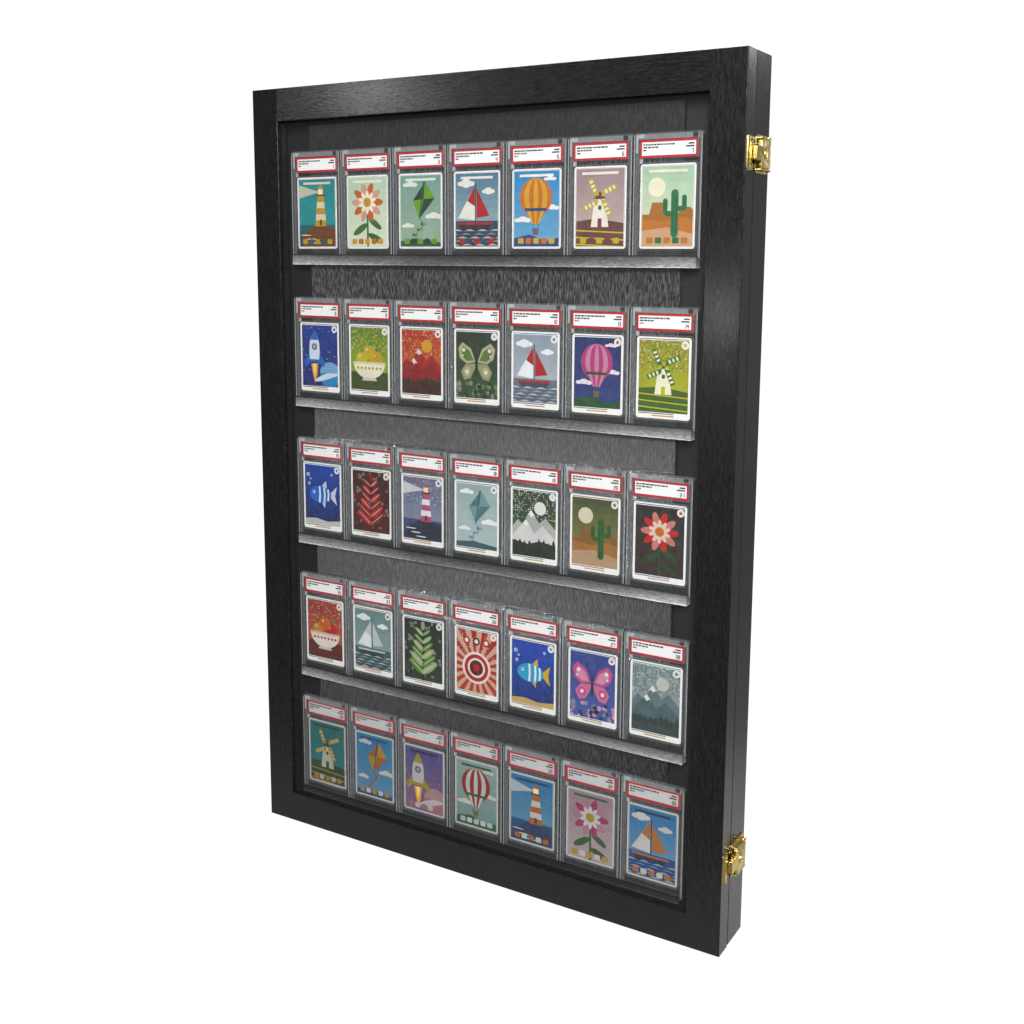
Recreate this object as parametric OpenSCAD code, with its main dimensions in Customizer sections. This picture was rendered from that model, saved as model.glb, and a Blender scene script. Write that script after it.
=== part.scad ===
// Wall-hung display case for graded trading cards: a shallow wooden case with
// a hinged clear-fronted door, two key latches and five rows of card holders.
// Millimetres. X runs to the right, Y into the wall, Z up. The origin is on the
// wall plane, midway between the two keyhole hangers in the top hanging rail.

/* [Case] */
// Overall width of the case and its door
case_w = 660.4; // [650:0.2:680]
// Height of the door
door_h = 977.9; // [976:0.1:982]
// Depth of the case body, from the wall to its front edge
case_d = 44; // [42:0.5:60]
// How much shorter the case is than the door, at the bottom
bottom_step = 1; // [0:0.5:2]
// Thickness of the case boards
board_t = 18; // [17:0.5:20]
// Thickness of the back board
back_t = 6; // [4:0.5:6]
// Width and height of the rabbet that holds the back board
back_rabbet = 6; // [5:0.5:7]

/* [Door] */
// Thickness of the door frame
door_t = 25.2; // [24:0.2:28]
// Gap between the door and the case
seam = 0.8; // [0.6:0.1:1.2]
// Face width of the stiles and rails
frame_w = 40.6; // [38:0.2:41]
// Thickness of the lip in front of the pane
lip_t = 5; // [4:0.5:6]
// Width of the rabbet that holds the pane
pane_rabbet = 8; // [7:0.5:9]
// Thickness of the clear pane
pane_t = 3; // [2:0.5:3]
// Thickness of the beads behind the pane
bead_t = 8; // [5:0.5:9]
// Radius of the eased edges of the door and case
ease = 0.9; // [0.4:0.1:1.5]

/* [Card rows] */
// Card holders in each row
columns = 7; // [5:1:7]
// Distance from one holder to the next
pitch = 80; // [79.5:0.1:80.5]
// Width of a card holder
holder_w = 78.4; // [77:0.1:79]
// Height of a card holder
holder_h = 134; // [130:0.5:136]
// Thickness of a card holder
holder_t = 6.4; // [5.5:0.1:7]
// Card width
card_w = 63.5; // [60:0.5:64]
// Card height
card_h = 88.9; // [85:0.1:89]
// Height of a ledge's front
ledge_h = 13; // [11:0.5:16]
// Depth of the groove that a holder stands in
groove = 5.5; // [4:0.5:6]
// Half the length of a ledge
ledge_x = 276.5; // [270:0.5:280]

/* [Hardware] */
// Height of the latches above and below the middle of the door
latch_z = 386.5; // [340:0.5:400]
// Height of the outer hinges above and below the middle of the door
hinge_z = 370; // [300:1:380]
// Half the distance between the two hangers
hang_x = 203.2; // [150:0.2:230]
// Radius of the round part of each keyhole
keyhole_r = 5; // [4.5:0.1:5]

/* [Hidden] */
$fn = 48;

// Planes, front to back
y_case = -case_d;                 // front edge of the case
y_back = y_case - seam;           // back of the door
y_front = y_back - door_t;        // front of the door
y_pane = y_front + lip_t;         // front of the pane
y_pane_b = y_pane + pane_t;       // back of the pane
y_board = y_case + 1;             // front of the back board
y_board_b = y_board + back_t;     // back of the back board
y_panel = y_board - 7.2;          // front of the display panel
y_ledge = y_pane_b + 0.8;         // front of the ledges
lip_y = 2.8;                      // thickness of a ledge's front lip
y_slab = y_panel - 1 - holder_t;  // front of the holders

// Heights, measured from the middle of the door
hw = case_w / 2;
top = door_h / 2;
bot = -door_h / 2;
cbot = bot + bottom_step;
open_x = hw - frame_w;
open_z = top - frame_w;
in_x = hw - board_t;
in_top = top - board_t;
in_bot = cbot + board_t;
ledge_z = [283, 100, -83, -266, -438];
panel_x = 255;
label_h = 18.8;                   // height of a label
panel_z = open_z - 4.3;
holder_r = 2.5;
hinge_at = [hinge_z, 0, -hinge_z];
latch_at = [latch_z, -latch_z];

// Hanging rails and hangers
rail_t = 18;
rail_top_h = 60;
rail_bot_h = 40;
plate_z = in_top - 30;
hole_z = plate_z - 7;
hx = [-hang_x, hang_x];

// Hinges
leaf_h = 63.5;
barrel_r = 3;
pin_r = 1.5;
ax = -hw - 3.2;
ay = y_case - seam / 2;
leaf_t = 1.2;
leaf_in = -hw + 11;
knuckle = leaf_h / 5;
leaf_screw_z = [-22, 0, 22];

// Latches, measured from the case's right side
cam_len = 17.6;
lock_y = -30;
pivot = [5.2, -16.5];
base_screws = [[-10, 12], [-10, -12], [-39, 10.5], [-39, -10.5]];
catch_screws = [[-63.8, 12.6], [-63.8, -12.6]];

black = [0.14, 0.14, 0.15];
panel_black = [0.24, 0.24, 0.25];
ledge_grey = [0.36, 0.36, 0.37];
brass = [0.86, 0.68, 0.24];
steel = [0.6, 0.61, 0.63];
timber = [0.72, 0.58, 0.4];

// Everything is drawn about the middle of the door and then lowered, so that
// the hanger line is at Z = 0
module placed() { translate([0, 0, -hole_z]) children(); }

module box(x0, x1, y0, y1, z0, z1) {
  translate([x0, y0, z0]) cube([x1 - x0, y1 - y0, z1 - z0]);
}
// A rounded rectangle about the origin
module rrect(w, h, r) {
  square([w - 2 * r, h], center = true);
  square([w, h - 2 * r], center = true);
  for (x = [-1, 1], y = [-1, 1]) translate([x * (w / 2 - r), y * (h / 2 - r)]) circle(r);
}
// A flat plate in the XZ plane, from y0 to y1, centred at x, z
module plate_xz(x, z, w, h, r, y0, y1) {
  translate([x, y1, z]) rotate([90, 0, 0]) linear_extrude(y1 - y0) rrect(w, h, r);
}
// A flat plate in the YZ plane, from x0 to x1, centred at y, z
module plate_yz(y, z, w, h, r, x0, x1) {
  translate([x0, y, z]) rotate([90, 0, 90]) linear_extrude(x1 - x0) rrect(w, h, r);
}
// A rectangle whose corners have the radii r, from the lowest corner round
// through high x, high x and y, and high y
function arc(x, y, r, a) = r > 0 ? [for (i = [0:4]) [x + r * cos(a + i * 22.5), y + r * sin(a + i * 22.5)]] : [[x, y]];
module eased(x0, x1, y0, y1, r) {
  polygon(concat(arc(x0 + r[0], y0 + r[0], r[0], 180), arc(x1 - r[1], y0 + r[1], r[1], 270),
                 arc(x1 - r[2], y1 - r[2], r[2], 0), arc(x0 + r[3], y1 - r[3], r[3], 90)));
}
// Such a rectangle drawn in the plane across X, in y and z, and extruded along X
module eased_x(x0, x1, y0, y1, z0, z1, r) {
  translate([x0, 0, 0]) rotate([90, 0, 90]) linear_extrude(x1 - x0) eased(y0, y1, z0, z1, r);
}
// And one drawn in x and y, and extruded along Z
module eased_z(x0, x1, y0, y1, z0, z1, r) {
  translate([0, 0, z0]) linear_extrude(z1 - z0) eased(x0, x1, y0, y1, r);
}
// What comes off to ease the corner at x, y, where [dx, dy] points into the wood
module ease_off(x, y, dx, dy, r) {
  polygon([[x - dx, y - dy], [x + dx * r, y - dy],
           for (i = [0:4]) [x + dx * r * (1 - sin(i * 22.5)), y + dy * r * (1 - cos(i * 22.5))],
           [x - dx, y + dy * r]]);
}
module rod_x(x0, x1, y, z, r) { translate([x0, y, z]) rotate([0, 90, 0]) cylinder(h = x1 - x0, r = r); }
module rod_y(x, y0, y1, z, r) { translate([x, y1, z]) rotate([90, 0, 0]) cylinder(h = y1 - y0, r = r); }
module rod_z(x, y, z0, z1, r) { translate([x, y, z0]) cylinder(h = z1 - z0, r = r); }

// A countersunk screw whose head is flush with z = 0 and whose shank runs to -z
module csk(r, len, head) {
  difference() {
    union() {
      translate([0, 0, -len]) cylinder(h = len, r = r);
      translate([0, 0, -(head - r)]) cylinder(h = head - r, r1 = r, r2 = head);
    }
    for (a = [0, 90]) rotate(a) translate([-head * 0.6, -0.25, -0.5]) cube([head * 1.2, 0.5, 1]);
  }
}
// The hole that such a screw goes in
module csk_hole(r, len, head) {
  translate([0, 0, -len - 0.3]) cylinder(h = len + 1.3, r = r + 0.05);
  translate([0, 0, -(head - r)]) cylinder(h = head - r + 0.6, r1 = r + 0.05, r2 = head + 0.65);
}

// ---------- case ----------
case_dowel_y = [-12, -29];
module case_dowel_set(r, a, b) {
  for (s = [-1, 1], y = case_dowel_y, z = [top - board_t / 2, cbot + board_t / 2])
    translate([s * in_x, 0, 0]) rod_x(s > 0 ? -b : -a, s > 0 ? a : b, y, z, r);
}
module board_pin_at() {
  for (s = [-1, 1], i = [0:5]) translate([s * (in_x + 3), 0, -400 + i * 160]) children();
  for (z = [in_top + 3, in_bot - 3], i = [-1:1]) translate([i * 230, 0, z]) children();
}
module case_side(s) {
  x0 = s > 0 ? in_x : -hw;
  x1 = s > 0 ? hw : -in_x;
  xr0 = s > 0 ? in_x - 1 : -in_x - back_rabbet;
  xr1 = s > 0 ? in_x + back_rabbet : -in_x + 1;
  e = ease;
  difference() {
    intersection() {
      eased_z(x0, x1, y_case, 0, cbot, top, s > 0 ? [0, e, e, 0] : [e, 0, 0, e]);
      eased_x(x0 - 1, x1 + 1, y_case, 0, cbot, top, [e, e, e, e]);
    }
    box(xr0, xr1, y_case - 1, y_board_b, in_bot - back_rabbet, in_top + back_rabbet);
    case_dowel_set(3.05, 12.4, 24.4);
    board_pin_at() rod_y(0, y_board_b - 1, y_board_b + 6.5, 0, 0.75);
    if (s < 0) {
      for (z = hinge_at) {
        box(-hw - 1, leaf_in + 0.1, y_case - 1, ay + 0.1 + leaf_t, z - leaf_h / 2 - 0.1, z + leaf_h / 2 + 0.1);
        for (dz = leaf_screw_z) rod_y(-hw + 5.6, y_case - 1, y_case + 13, z + dz, 1.25);
      }
    }
    if (s > 0)
      for (z = latch_at, p = base_screws)
        rod_x(hw - 11, hw + 1, p[0], z + p[1], 1.45);
  }
}
module case_side_left() color(black) placed() case_side(-1);
module case_side_right() color(black) placed() case_side(1);
module case_top() color(black) placed() difference() {
  eased_x(-in_x, in_x, y_case, 0, in_top, top, [0, 0, ease, ease]);
  box(-in_x - 1, in_x + 1, y_case - 1, y_board_b, in_top - 1, in_top + back_rabbet);
  case_dowel_set(3.05, 12.4, 24.4);
  board_pin_at() rod_y(0, y_board_b - 1, y_board_b + 6.5, 0, 0.75);
}
module case_bottom() color(black) placed() difference() {
  eased_x(-in_x, in_x, y_case, 0, cbot, in_bot, [ease, ease, 0, 0]);
  box(-in_x - 1, in_x + 1, y_case - 1, y_board_b, in_bot - back_rabbet, in_bot + 1);
  case_dowel_set(3.05, 12.4, 24.4);
  board_pin_at() rod_y(0, y_board_b - 1, y_board_b + 6.5, 0, 0.75);
}
module case_dowels() color(timber) placed() case_dowel_set(3, 12, 24);

// Screws that hold ledge n, from behind the back board
ledge_screw_x = [-240, -80, 80, 240];
module ledge_screw_at(n) {
  for (x = ledge_screw_x) translate([x, 0, ledge_z[n] - groove - (ledge_h - groove) / 2]) children();
}
module back_board() color(black) placed() difference() {
  box(-in_x - back_rabbet + 0.3, in_x + back_rabbet - 0.3, y_board, y_board_b,
      in_bot - back_rabbet + 0.3, in_top + back_rabbet - 0.3);
  board_pin_at() {
    rod_y(0, y_board - 1, y_board_b + 1, 0, 0.75);
    rod_y(0, y_board - 1, y_board + 0.6, 0, 1.55);
  }
  for (n = [0:3]) ledge_screw_at(n) rod_y(0, y_board - 1, y_board_b + 1, 0, 1.55);
}
module board_pins() color(steel) placed() board_pin_at() {
  rod_y(0, y_board + 0.1, y_board_b + 6, 0, 0.7);
  rod_y(0, y_board + 0.1, y_board + 0.6, 0, 1.5);
}
module display_panel() color(panel_black) placed() difference() {
  intersection() {
    eased_z(-panel_x, panel_x, y_panel, y_board, -panel_z, panel_z, [ease, ease, 0, 0]);
    eased_x(-panel_x - 1, panel_x + 1, y_panel, y_board, -panel_z, panel_z, [ease, 0, 0, ease]);
  }
  for (n = [0:3]) ledge_screw_at(n) rod_y(0, y_panel - 1, y_board + 1, 0, 1.55);
}
// A grooved ledge: a floor that the holders stand on and a lip in front of them
module ledge(n) {
  h = n == 4 ? 8.4 : ledge_h;
  color(ledge_grey) placed() difference() {
    translate([-ledge_x, 0, ledge_z[n]]) rotate([90, 0, 90]) linear_extrude(2 * ledge_x)
      polygon([[y_ledge, -h], [y_panel, -h], [y_panel, -groove], [y_ledge + lip_y, -groove],
               [y_ledge + lip_y, -0.4], [y_ledge + lip_y - 0.4, 0], [y_ledge + 0.6, 0], [y_ledge, -0.6]]);
    if (n < 4) ledge_screw_at(n) rod_y(0, y_panel - 7.5, y_panel + 1, 0, 1.55);
  }
}
module ledge_row_1() ledge(0);
module ledge_row_2() ledge(1);
module ledge_row_3() ledge(2);
module ledge_row_4() ledge(3);
module ledge_row_5() ledge(4);
module ledge_screws() color(steel) placed() for (n = [0:3]) ledge_screw_at(n) {
  rod_y(0, y_panel - 7, y_board_b, 0, 1.5);
  difference() {
    rod_y(0, y_board_b, y_board_b + 1.8, 0, 3);
    for (a = [0, 90]) translate([0, y_board_b + 1, 0]) rotate([0, a, 0]) translate([-1.8, 0, -0.3]) cube([3.6, 2, 0.6]);
  }
}

// ---------- hanging ----------
module keyhole(y0, y1, r, slot) {
  rod_y(0, y0, y1, -7, r);
  box(-slot, slot, y0, y1, -7, 7);
  rod_y(0, y0, y1, 7, slot);
}
hanger_screw_z = [-18.5, 18.5];
module hanging_rail_top() color(black) placed() difference() {
  box(-in_x, in_x, -rail_t, 0, in_top - rail_top_h, in_top);
  for (x = hx) translate([x, 0, plate_z]) {
    plate_xz(0, 0, 20.2, 46.2, 3.1, -1.6, 1);
    plate_xz(0, 0, 15, 29, 7.4, -14, 0);
    for (z = hanger_screw_z) rod_y(0, -14, 0, z, 1.55);
  }
}
module hanging_rail_bottom() color(black) placed()
  box(-in_x, in_x, -rail_t, 0, in_bot, in_bot + rail_bot_h);
module hanger_plates() color(steel) placed() for (x = hx) translate([x, 0, plate_z]) difference() {
  plate_xz(0, 0, 20, 46, 3, -1.6, 0);
  keyhole(-2, 1, keyhole_r, 2.3);
  for (z = hanger_screw_z) translate([0, -0.2, z]) rotate([-90, 0, 0]) csk_hole(1.5, 12, 2.7);
}
module hanger_screws() color(steel) placed() for (x = hx, z = hanger_screw_z)
  translate([x, -0.2, plate_z + z]) rotate([-90, 0, 0]) csk(1.5, 12, 2.7);

module door_bumpers() color([0.1, 0.1, 0.1]) placed() for (z = [-440, -180, 180, 440])
  rod_y(in_x + back_rabbet + 5.5, y_case - seam + 0.1, y_case, z, 4);

// ---------- hinges ----------
// Knuckles k of hinge, drawn about the hinge's middle
module knuckles(ks, bore, y0, y1) {
  for (k = ks) difference() {
    union() {
      rod_z(ax, ay, -leaf_h / 2 + k * knuckle + 0.1, -leaf_h / 2 + (k + 1) * knuckle - 0.1, barrel_r);
      box(ax, -hw + 0.3, y0, y1, -leaf_h / 2 + k * knuckle + 0.1, -leaf_h / 2 + (k + 1) * knuckle - 0.1);
    }
    rod_z(ax, ay, -leaf_h, leaf_h, bore);
  }
}
module hinge_leaves_case() color(brass) placed() for (z = hinge_at) translate([0, 0, z]) difference() {
  union() {
    box(-hw + 0.2, leaf_in, ay + 0.1, ay + 0.1 + leaf_t, -leaf_h / 2, leaf_h / 2);
    knuckles([0, 2, 4], 1.52, ay + 0.1, ay + 0.1 + leaf_t);
  }
  for (dz = leaf_screw_z) translate([-hw + 5.6, ay + 0.2, dz]) rotate([90, 0, 0]) csk_hole(1.2, 12, 2.1);
}
module hinge_leaves_door() color(brass) placed() for (z = hinge_at) translate([0, 0, z]) difference() {
  union() {
    box(-hw + 0.2, leaf_in, ay - 0.1 - leaf_t, ay - 0.1, -leaf_h / 2, leaf_h / 2);
    knuckles([1, 3], 1.56, ay - 0.1 - leaf_t, ay - 0.1);
  }
  for (dz = leaf_screw_z) translate([-hw + 5.6, ay - 0.2, dz]) rotate([-90, 0, 0]) csk_hole(1.2, 12, 2.1);
}
module hinge_pins() color(brass) placed() for (z = hinge_at) {
  rod_z(ax, ay, z - leaf_h / 2 - 0.2, z + leaf_h / 2 + 0.2, pin_r);
  for (s = [-1, 1]) translate([ax, ay, z + s * (leaf_h / 2 + 0.8)])
    cylinder(h = 1.4, r = 2.4, center = true);
}
module hinge_screws_case() color(brass) placed() for (z = hinge_at, dz = leaf_screw_z)
  translate([-hw + 5.6, ay + 0.2, z + dz]) rotate([90, 0, 0]) csk(1.2, 12, 2.1);
module hinge_screws_door() color(brass) placed() for (z = hinge_at, dz = leaf_screw_z)
  translate([-hw + 5.6, ay - 0.2, z + dz]) rotate([-90, 0, 0]) csk(1.2, 12, 2.1);

// ---------- door ----------
door_dowel_z = [9, 24];
module door_dowel_set(r, len) {
  for (s = [-1, 1], t = [-1, 1], d = door_dowel_z)
    rod_x(s * open_x - len, s * open_x + len, y_front + door_t / 2, t * (top - d), r);
}
bead_pin_z = [-390, -130, 130, 390];
bead_pin_x = [-200, 0, 200];
module bead_pin_set(r, a, b) {
  for (s = [-1, 1], z = bead_pin_z)
    rod_x(s > 0 ? open_x + b : -open_x - a, s > 0 ? open_x + a : -open_x - b, y_pane_b + bead_t / 2, z, r);
  for (s = [-1, 1], x = bead_pin_x)
    rod_z(x, y_pane_b + bead_t / 2, s > 0 ? open_z + b : -open_z - a, s > 0 ? open_z + a : -open_z - b, r);
}
module door_stile(s) {
  x0 = s > 0 ? open_x : -hw;
  x1 = s > 0 ? hw : -open_x;
  r0 = s > 0 ? open_x - 1 : -open_x - pane_rabbet;
  r1 = s > 0 ? open_x + pane_rabbet : -open_x + 1;
  e = ease;
  difference() {
    intersection() {
      eased_z(x0, x1, y_front, y_back, bot, top, s > 0 ? [0, e, e, 0] : [e, 0, 0, e]);
      eased_x(x0 - 1, x1 + 1, y_front, y_back, bot, top, [e, e, e, e]);
    }
    translate([0, 0, -open_z]) linear_extrude(2 * open_z) ease_off(s * open_x, y_front, s, 1, e);
    box(r0, r1, y_pane, y_back + 1, -open_z - pane_rabbet, open_z + pane_rabbet);
    door_dowel_set(4.05, 18.4);
    bead_pin_set(0.75, 16.4, -0.5);
    if (s < 0) for (z = hinge_at) {
      box(-hw - 1, leaf_in + 0.1, ay - 0.1 - leaf_t, y_back + 1, z - leaf_h / 2 - 0.1, z + leaf_h / 2 + 0.1);
      for (dz = leaf_screw_z) rod_y(-hw + 5.6, y_back - 13, y_back + 1, z + dz, 1.25);
    }
    if (s > 0) for (z = latch_at, p = catch_screws)
      rod_x(hw - 11, hw + 1, p[0], z + p[1], 1.25);
  }
}
module door_stile_left() color(black) placed() door_stile(-1);
module door_stile_right() color(black) placed() door_stile(1);
module door_rail(t) {
  z0 = t > 0 ? open_z : bot;
  z1 = t > 0 ? top : -open_z;
  r0 = t > 0 ? open_z - 1 : -open_z - pane_rabbet;
  r1 = t > 0 ? open_z + pane_rabbet : -open_z + 1;
  difference() {
    eased_x(-open_x, open_x, y_front, y_back, z0, z1, t > 0 ? [ease, 0, ease, ease] : [ease, ease, 0, ease]);
    box(-open_x - 1, open_x + 1, y_pane, y_back + 1, r0, r1);
    door_dowel_set(4.05, 18.4);
    bead_pin_set(0.75, 16.4, -0.5);
  }
}
module door_rail_top() color(black) placed() door_rail(1);
module door_rail_bottom() color(black) placed() door_rail(-1);
module door_dowels() color(timber) placed() door_dowel_set(4, 18);
module pane() color([0.8, 0.86, 0.9, 0.25]) placed()
  box(-open_x - 7, open_x + 7, y_pane, y_pane_b, -open_z - 7, open_z + 7);
module pane_beads_side() color(black) placed() difference() {
  for (s = [-1, 1]) box(s > 0 ? open_x + 0.2 : -open_x - pane_rabbet + 0.2, s > 0 ? open_x + pane_rabbet - 0.2 : -open_x - 0.2,
                        y_pane_b, y_pane_b + bead_t, -open_z - pane_rabbet + 0.2, open_z + pane_rabbet - 0.2);
  bead_pin_set(0.75, 16.4, -0.5);
}
module pane_beads_end() color(black) placed() difference() {
  for (s = [-1, 1]) box(-open_x + 0.2, open_x - 0.2, y_pane_b, y_pane_b + bead_t,
                        s > 0 ? open_z + 0.2 : -open_z - pane_rabbet + 0.2, s > 0 ? open_z + pane_rabbet - 0.2 : -open_z - 0.2);
  bead_pin_set(0.75, 16.4, -0.5);
}
module bead_pins() color(steel) placed() bead_pin_set(0.7, 16, 0.3);

// ---------- latches ----------
// Catch strip on the door's edge, drawn about the latch's height
module catch_strip() difference() {
  union() {
    plate_yz(-63.8, 0, 10.4, 34, 2, 0, 1.2);
    translate([0, 0, -16]) linear_extrude(32)
      polygon([[0.6, -68.4], [1.8, -68.4], [3.2, -67], [3.2, -60.8], [2.4, -59.2], [0.6, -59.2]]);
  }
  for (p = catch_screws) translate([3, p[0], p[1]]) rotate([0, 90, 0]) csk_hole(1.2, 12, 2.1);
}
module latch_catch_upper() color(brass) placed() translate([hw, 0, latch_z]) catch_strip();
module latch_catch_lower() color(brass) placed() translate([hw, 0, -latch_z]) catch_strip();
module latch_catch_screws() color(brass) placed() for (z = latch_at, p = catch_screws)
  translate([hw + 3, p[0], z + p[1]]) rotate([0, 90, 0]) csk(1.2, 12, 2.1);

// Base pan on the case's side: a plate with two upturned walls
module latch_base() difference() {
  union() {
    plate_yz(-25, 0, 37, 39, 4, 0, 1.3);
    for (s = [-1, 1]) plate_yz(-28.2, s * 15.9, 29.6, 1.4, 0.3, 0.5, 7.6);
  }
  rod_z(pivot[0], pivot[1], -20, 20, 1.22);
  box(1.3, 3.5, -40.4, -26.6, -17, -15);
  for (p = base_screws) translate([1.2, p[0], p[1]]) rotate([0, 90, 0]) csk_hole(1.4, 11, 2.3);
}
module latch_base_upper() color(brass) placed() translate([hw, 0, latch_z]) latch_base();
module latch_base_lower() color(brass) placed() translate([hw, 0, -latch_z]) latch_base();
module latch_base_screws() color(brass) placed() for (z = latch_at, p = base_screws)
  translate([hw + 1.2, p[0], z + p[1]]) rotate([0, 90, 0]) csk(1.4, 10.6, 2.3);
module latch_pins() color(brass) placed() for (z = latch_at) translate([hw + pivot[0], pivot[1], z]) {
  translate([0, 0, -16.8]) cylinder(h = 33.6, r = 1.2);
  for (s = [-1, 1]) translate([0, 0, s * 17.2]) cylinder(h = 1, r = 2, center = true);
}
// Lever: a pressed cover that turns on the pin, with a tongue across the seam
module latch_lever() difference() {
  union() {
    difference() {
      plate_yz(-29.8, 0, 26, 29.2, 2.4, 3.4, 7.8);
      box(3, 6.2, -41.4, -10, -13.2, 13.2);
      box(3, 6.2, -19.8, -10, -15, 15);
      box(3, 6.2, -43.5, -41, -6.2, 6.2);
    }
    box(6.2, 7.8, -19, pivot[1], -13, 13);
    difference() {
      plate_yz(-49.3, 0, 17.8, 15, 1.6, 2.4, 7.8);
      box(2, 6.2, -57, -40, -6.2, 6.2);
      box(2, 3.4, -56, -40, -8, 8);
    }
    rod_z(pivot[0], pivot[1], -13, 13, 2.6);
    rod_x(3.1, 8.6, lock_y, 0, 6.2);
  }
  rod_z(pivot[0], pivot[1], -20, 20, 1.28);
  rod_x(2, 10, lock_y, 0, 4.6);
}
module latch_lever_upper() color(brass) placed() translate([hw, 0, latch_z]) latch_lever();
module latch_lever_lower() color(brass) placed() translate([hw, 0, -latch_z]) latch_lever();
// Lock plug: it turns in the lever and carries the cam that enters the base's wall
module lock_plug() difference() {
  union() {
    rod_x(3, 9, lock_y, 0, 4.52);
    translate([1.9, lock_y, 0]) rotate([90, 0, 90]) linear_extrude(1.1) {
      circle(4.5);
      translate([-cam_len, -2.4]) square([cam_len, 4.8]);
    }
  }
  box(6.2, 9.5, lock_y - 0.7, lock_y + 0.7, -3, 1.4);
  rod_x(6.2, 9.5, lock_y, 1.2, 1.5);
}
module lock_plug_upper() color(brass) placed() translate([hw, 0, latch_z]) lock_plug();
module lock_plug_lower() color(brass) placed() translate([hw, 0, -latch_z]) lock_plug();

// ---------- card holders ----------
col_x = [for (i = [0:columns - 1]) (i - (columns - 1) / 2) * pitch];
y_mid = y_slab + holder_t / 2;
function card_top(n) = ledge_z[n] - groove + holder_h - 32.5;
function label_top(n) = ledge_z[n] - groove + holder_h - 7.3;
// Two welded shells with a well for the card and one for the label
module holders(n) color([0.85, 0.88, 0.9, 0.3]) placed() for (x = col_x) {
  zc = ledge_z[n] - groove + holder_h / 2;
  difference() {
    plate_xz(x, zc, holder_w, holder_h, holder_r, y_slab, y_mid - 0.02);
    box(x - card_w / 2 - 0.4, x + card_w / 2 + 0.4, y_mid - 0.8, y_mid + 1, card_top(n) - card_h - 0.4, card_top(n) + 0.4);
    box(x - 33.6, x + 33.6, y_mid - 0.8, y_mid + 1, label_top(n) - label_h - 0.3, label_top(n) + 0.3);
  }
  difference() {
    plate_xz(x, zc, holder_w, holder_h, holder_r, y_mid + 0.02, y_slab + holder_t);
    box(x - card_w / 2 - 0.4, x + card_w / 2 + 0.4, y_mid - 1, y_mid + 0.4, card_top(n) - card_h - 0.4, card_top(n) + 0.4);
    box(x - 33.6, x + 33.6, y_mid - 1, y_mid + 0.4, label_top(n) - label_h - 0.3, label_top(n) + 0.3);
  }
}
module cards(n) color([0.95, 0.94, 0.9]) placed() for (x = col_x)
  plate_xz(x, card_top(n) - card_h / 2, card_w, card_h, 3, y_mid - 0.1, y_mid + 0.3);
module labels(n) color([0.97, 0.97, 0.97]) placed() for (x = col_x)
  box(x - 33.2, x + 33.2, y_mid - 0.1, y_mid + 0.3, label_top(n) - label_h, label_top(n));
module card_holders_row_1() holders(0);
module card_holders_row_2() holders(1);
module card_holders_row_3() holders(2);
module card_holders_row_4() holders(3);
module card_holders_row_5() holders(4);
module cards_row_1() cards(0);
module cards_row_2() cards(1);
module cards_row_3() cards(2);
module cards_row_4() cards(3);
module cards_row_5() cards(4);
module labels_row_1() labels(0);
module labels_row_2() labels(1);
module labels_row_3() labels(2);
module labels_row_4() labels(3);
module labels_row_5() labels(4);

case_side_left();
case_side_right();
case_top();
case_bottom();
case_dowels();
back_board();
board_pins();
display_panel();
ledge_row_1();
ledge_row_2();
ledge_row_3();
ledge_row_4();
ledge_row_5();
ledge_screws();
hanging_rail_top();
hanging_rail_bottom();
hanger_plates();
hanger_screws();
door_bumpers();
hinge_leaves_case();
hinge_pins();
hinge_screws_case();
latch_base_upper();
latch_base_lower();
latch_base_screws();
latch_pins();
card_holders_row_1();
card_holders_row_2();
card_holders_row_3();
card_holders_row_4();
card_holders_row_5();
cards_row_1();
cards_row_2();
cards_row_3();
cards_row_4();
cards_row_5();
labels_row_1();
labels_row_2();
labels_row_3();
labels_row_4();
labels_row_5();
door_stile_left();
door_stile_right();
door_rail_top();
door_rail_bottom();
door_dowels();
pane();
pane_beads_side();
pane_beads_end();
bead_pins();
hinge_leaves_door();
hinge_screws_door();
latch_catch_upper();
latch_catch_lower();
latch_catch_screws();
latch_lever_upper();
latch_lever_lower();
lock_plug_upper();
lock_plug_lower();
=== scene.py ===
"""Looks of a wall-hung display case for graded trading cards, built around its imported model."""
import math
import random

import bmesh
import bpy
from mathutils import Matrix, Vector


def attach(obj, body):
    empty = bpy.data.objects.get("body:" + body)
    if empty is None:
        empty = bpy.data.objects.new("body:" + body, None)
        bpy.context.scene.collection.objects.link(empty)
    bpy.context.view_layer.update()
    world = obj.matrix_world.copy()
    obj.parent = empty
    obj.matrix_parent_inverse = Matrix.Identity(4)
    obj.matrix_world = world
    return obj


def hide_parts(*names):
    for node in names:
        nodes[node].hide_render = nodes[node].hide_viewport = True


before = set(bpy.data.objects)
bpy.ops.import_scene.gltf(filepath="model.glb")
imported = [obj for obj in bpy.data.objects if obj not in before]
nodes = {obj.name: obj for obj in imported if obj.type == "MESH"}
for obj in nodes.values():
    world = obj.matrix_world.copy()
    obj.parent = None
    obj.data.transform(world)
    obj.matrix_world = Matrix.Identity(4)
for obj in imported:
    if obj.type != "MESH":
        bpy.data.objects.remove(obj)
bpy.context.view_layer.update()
scene = bpy.context.scene


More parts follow.
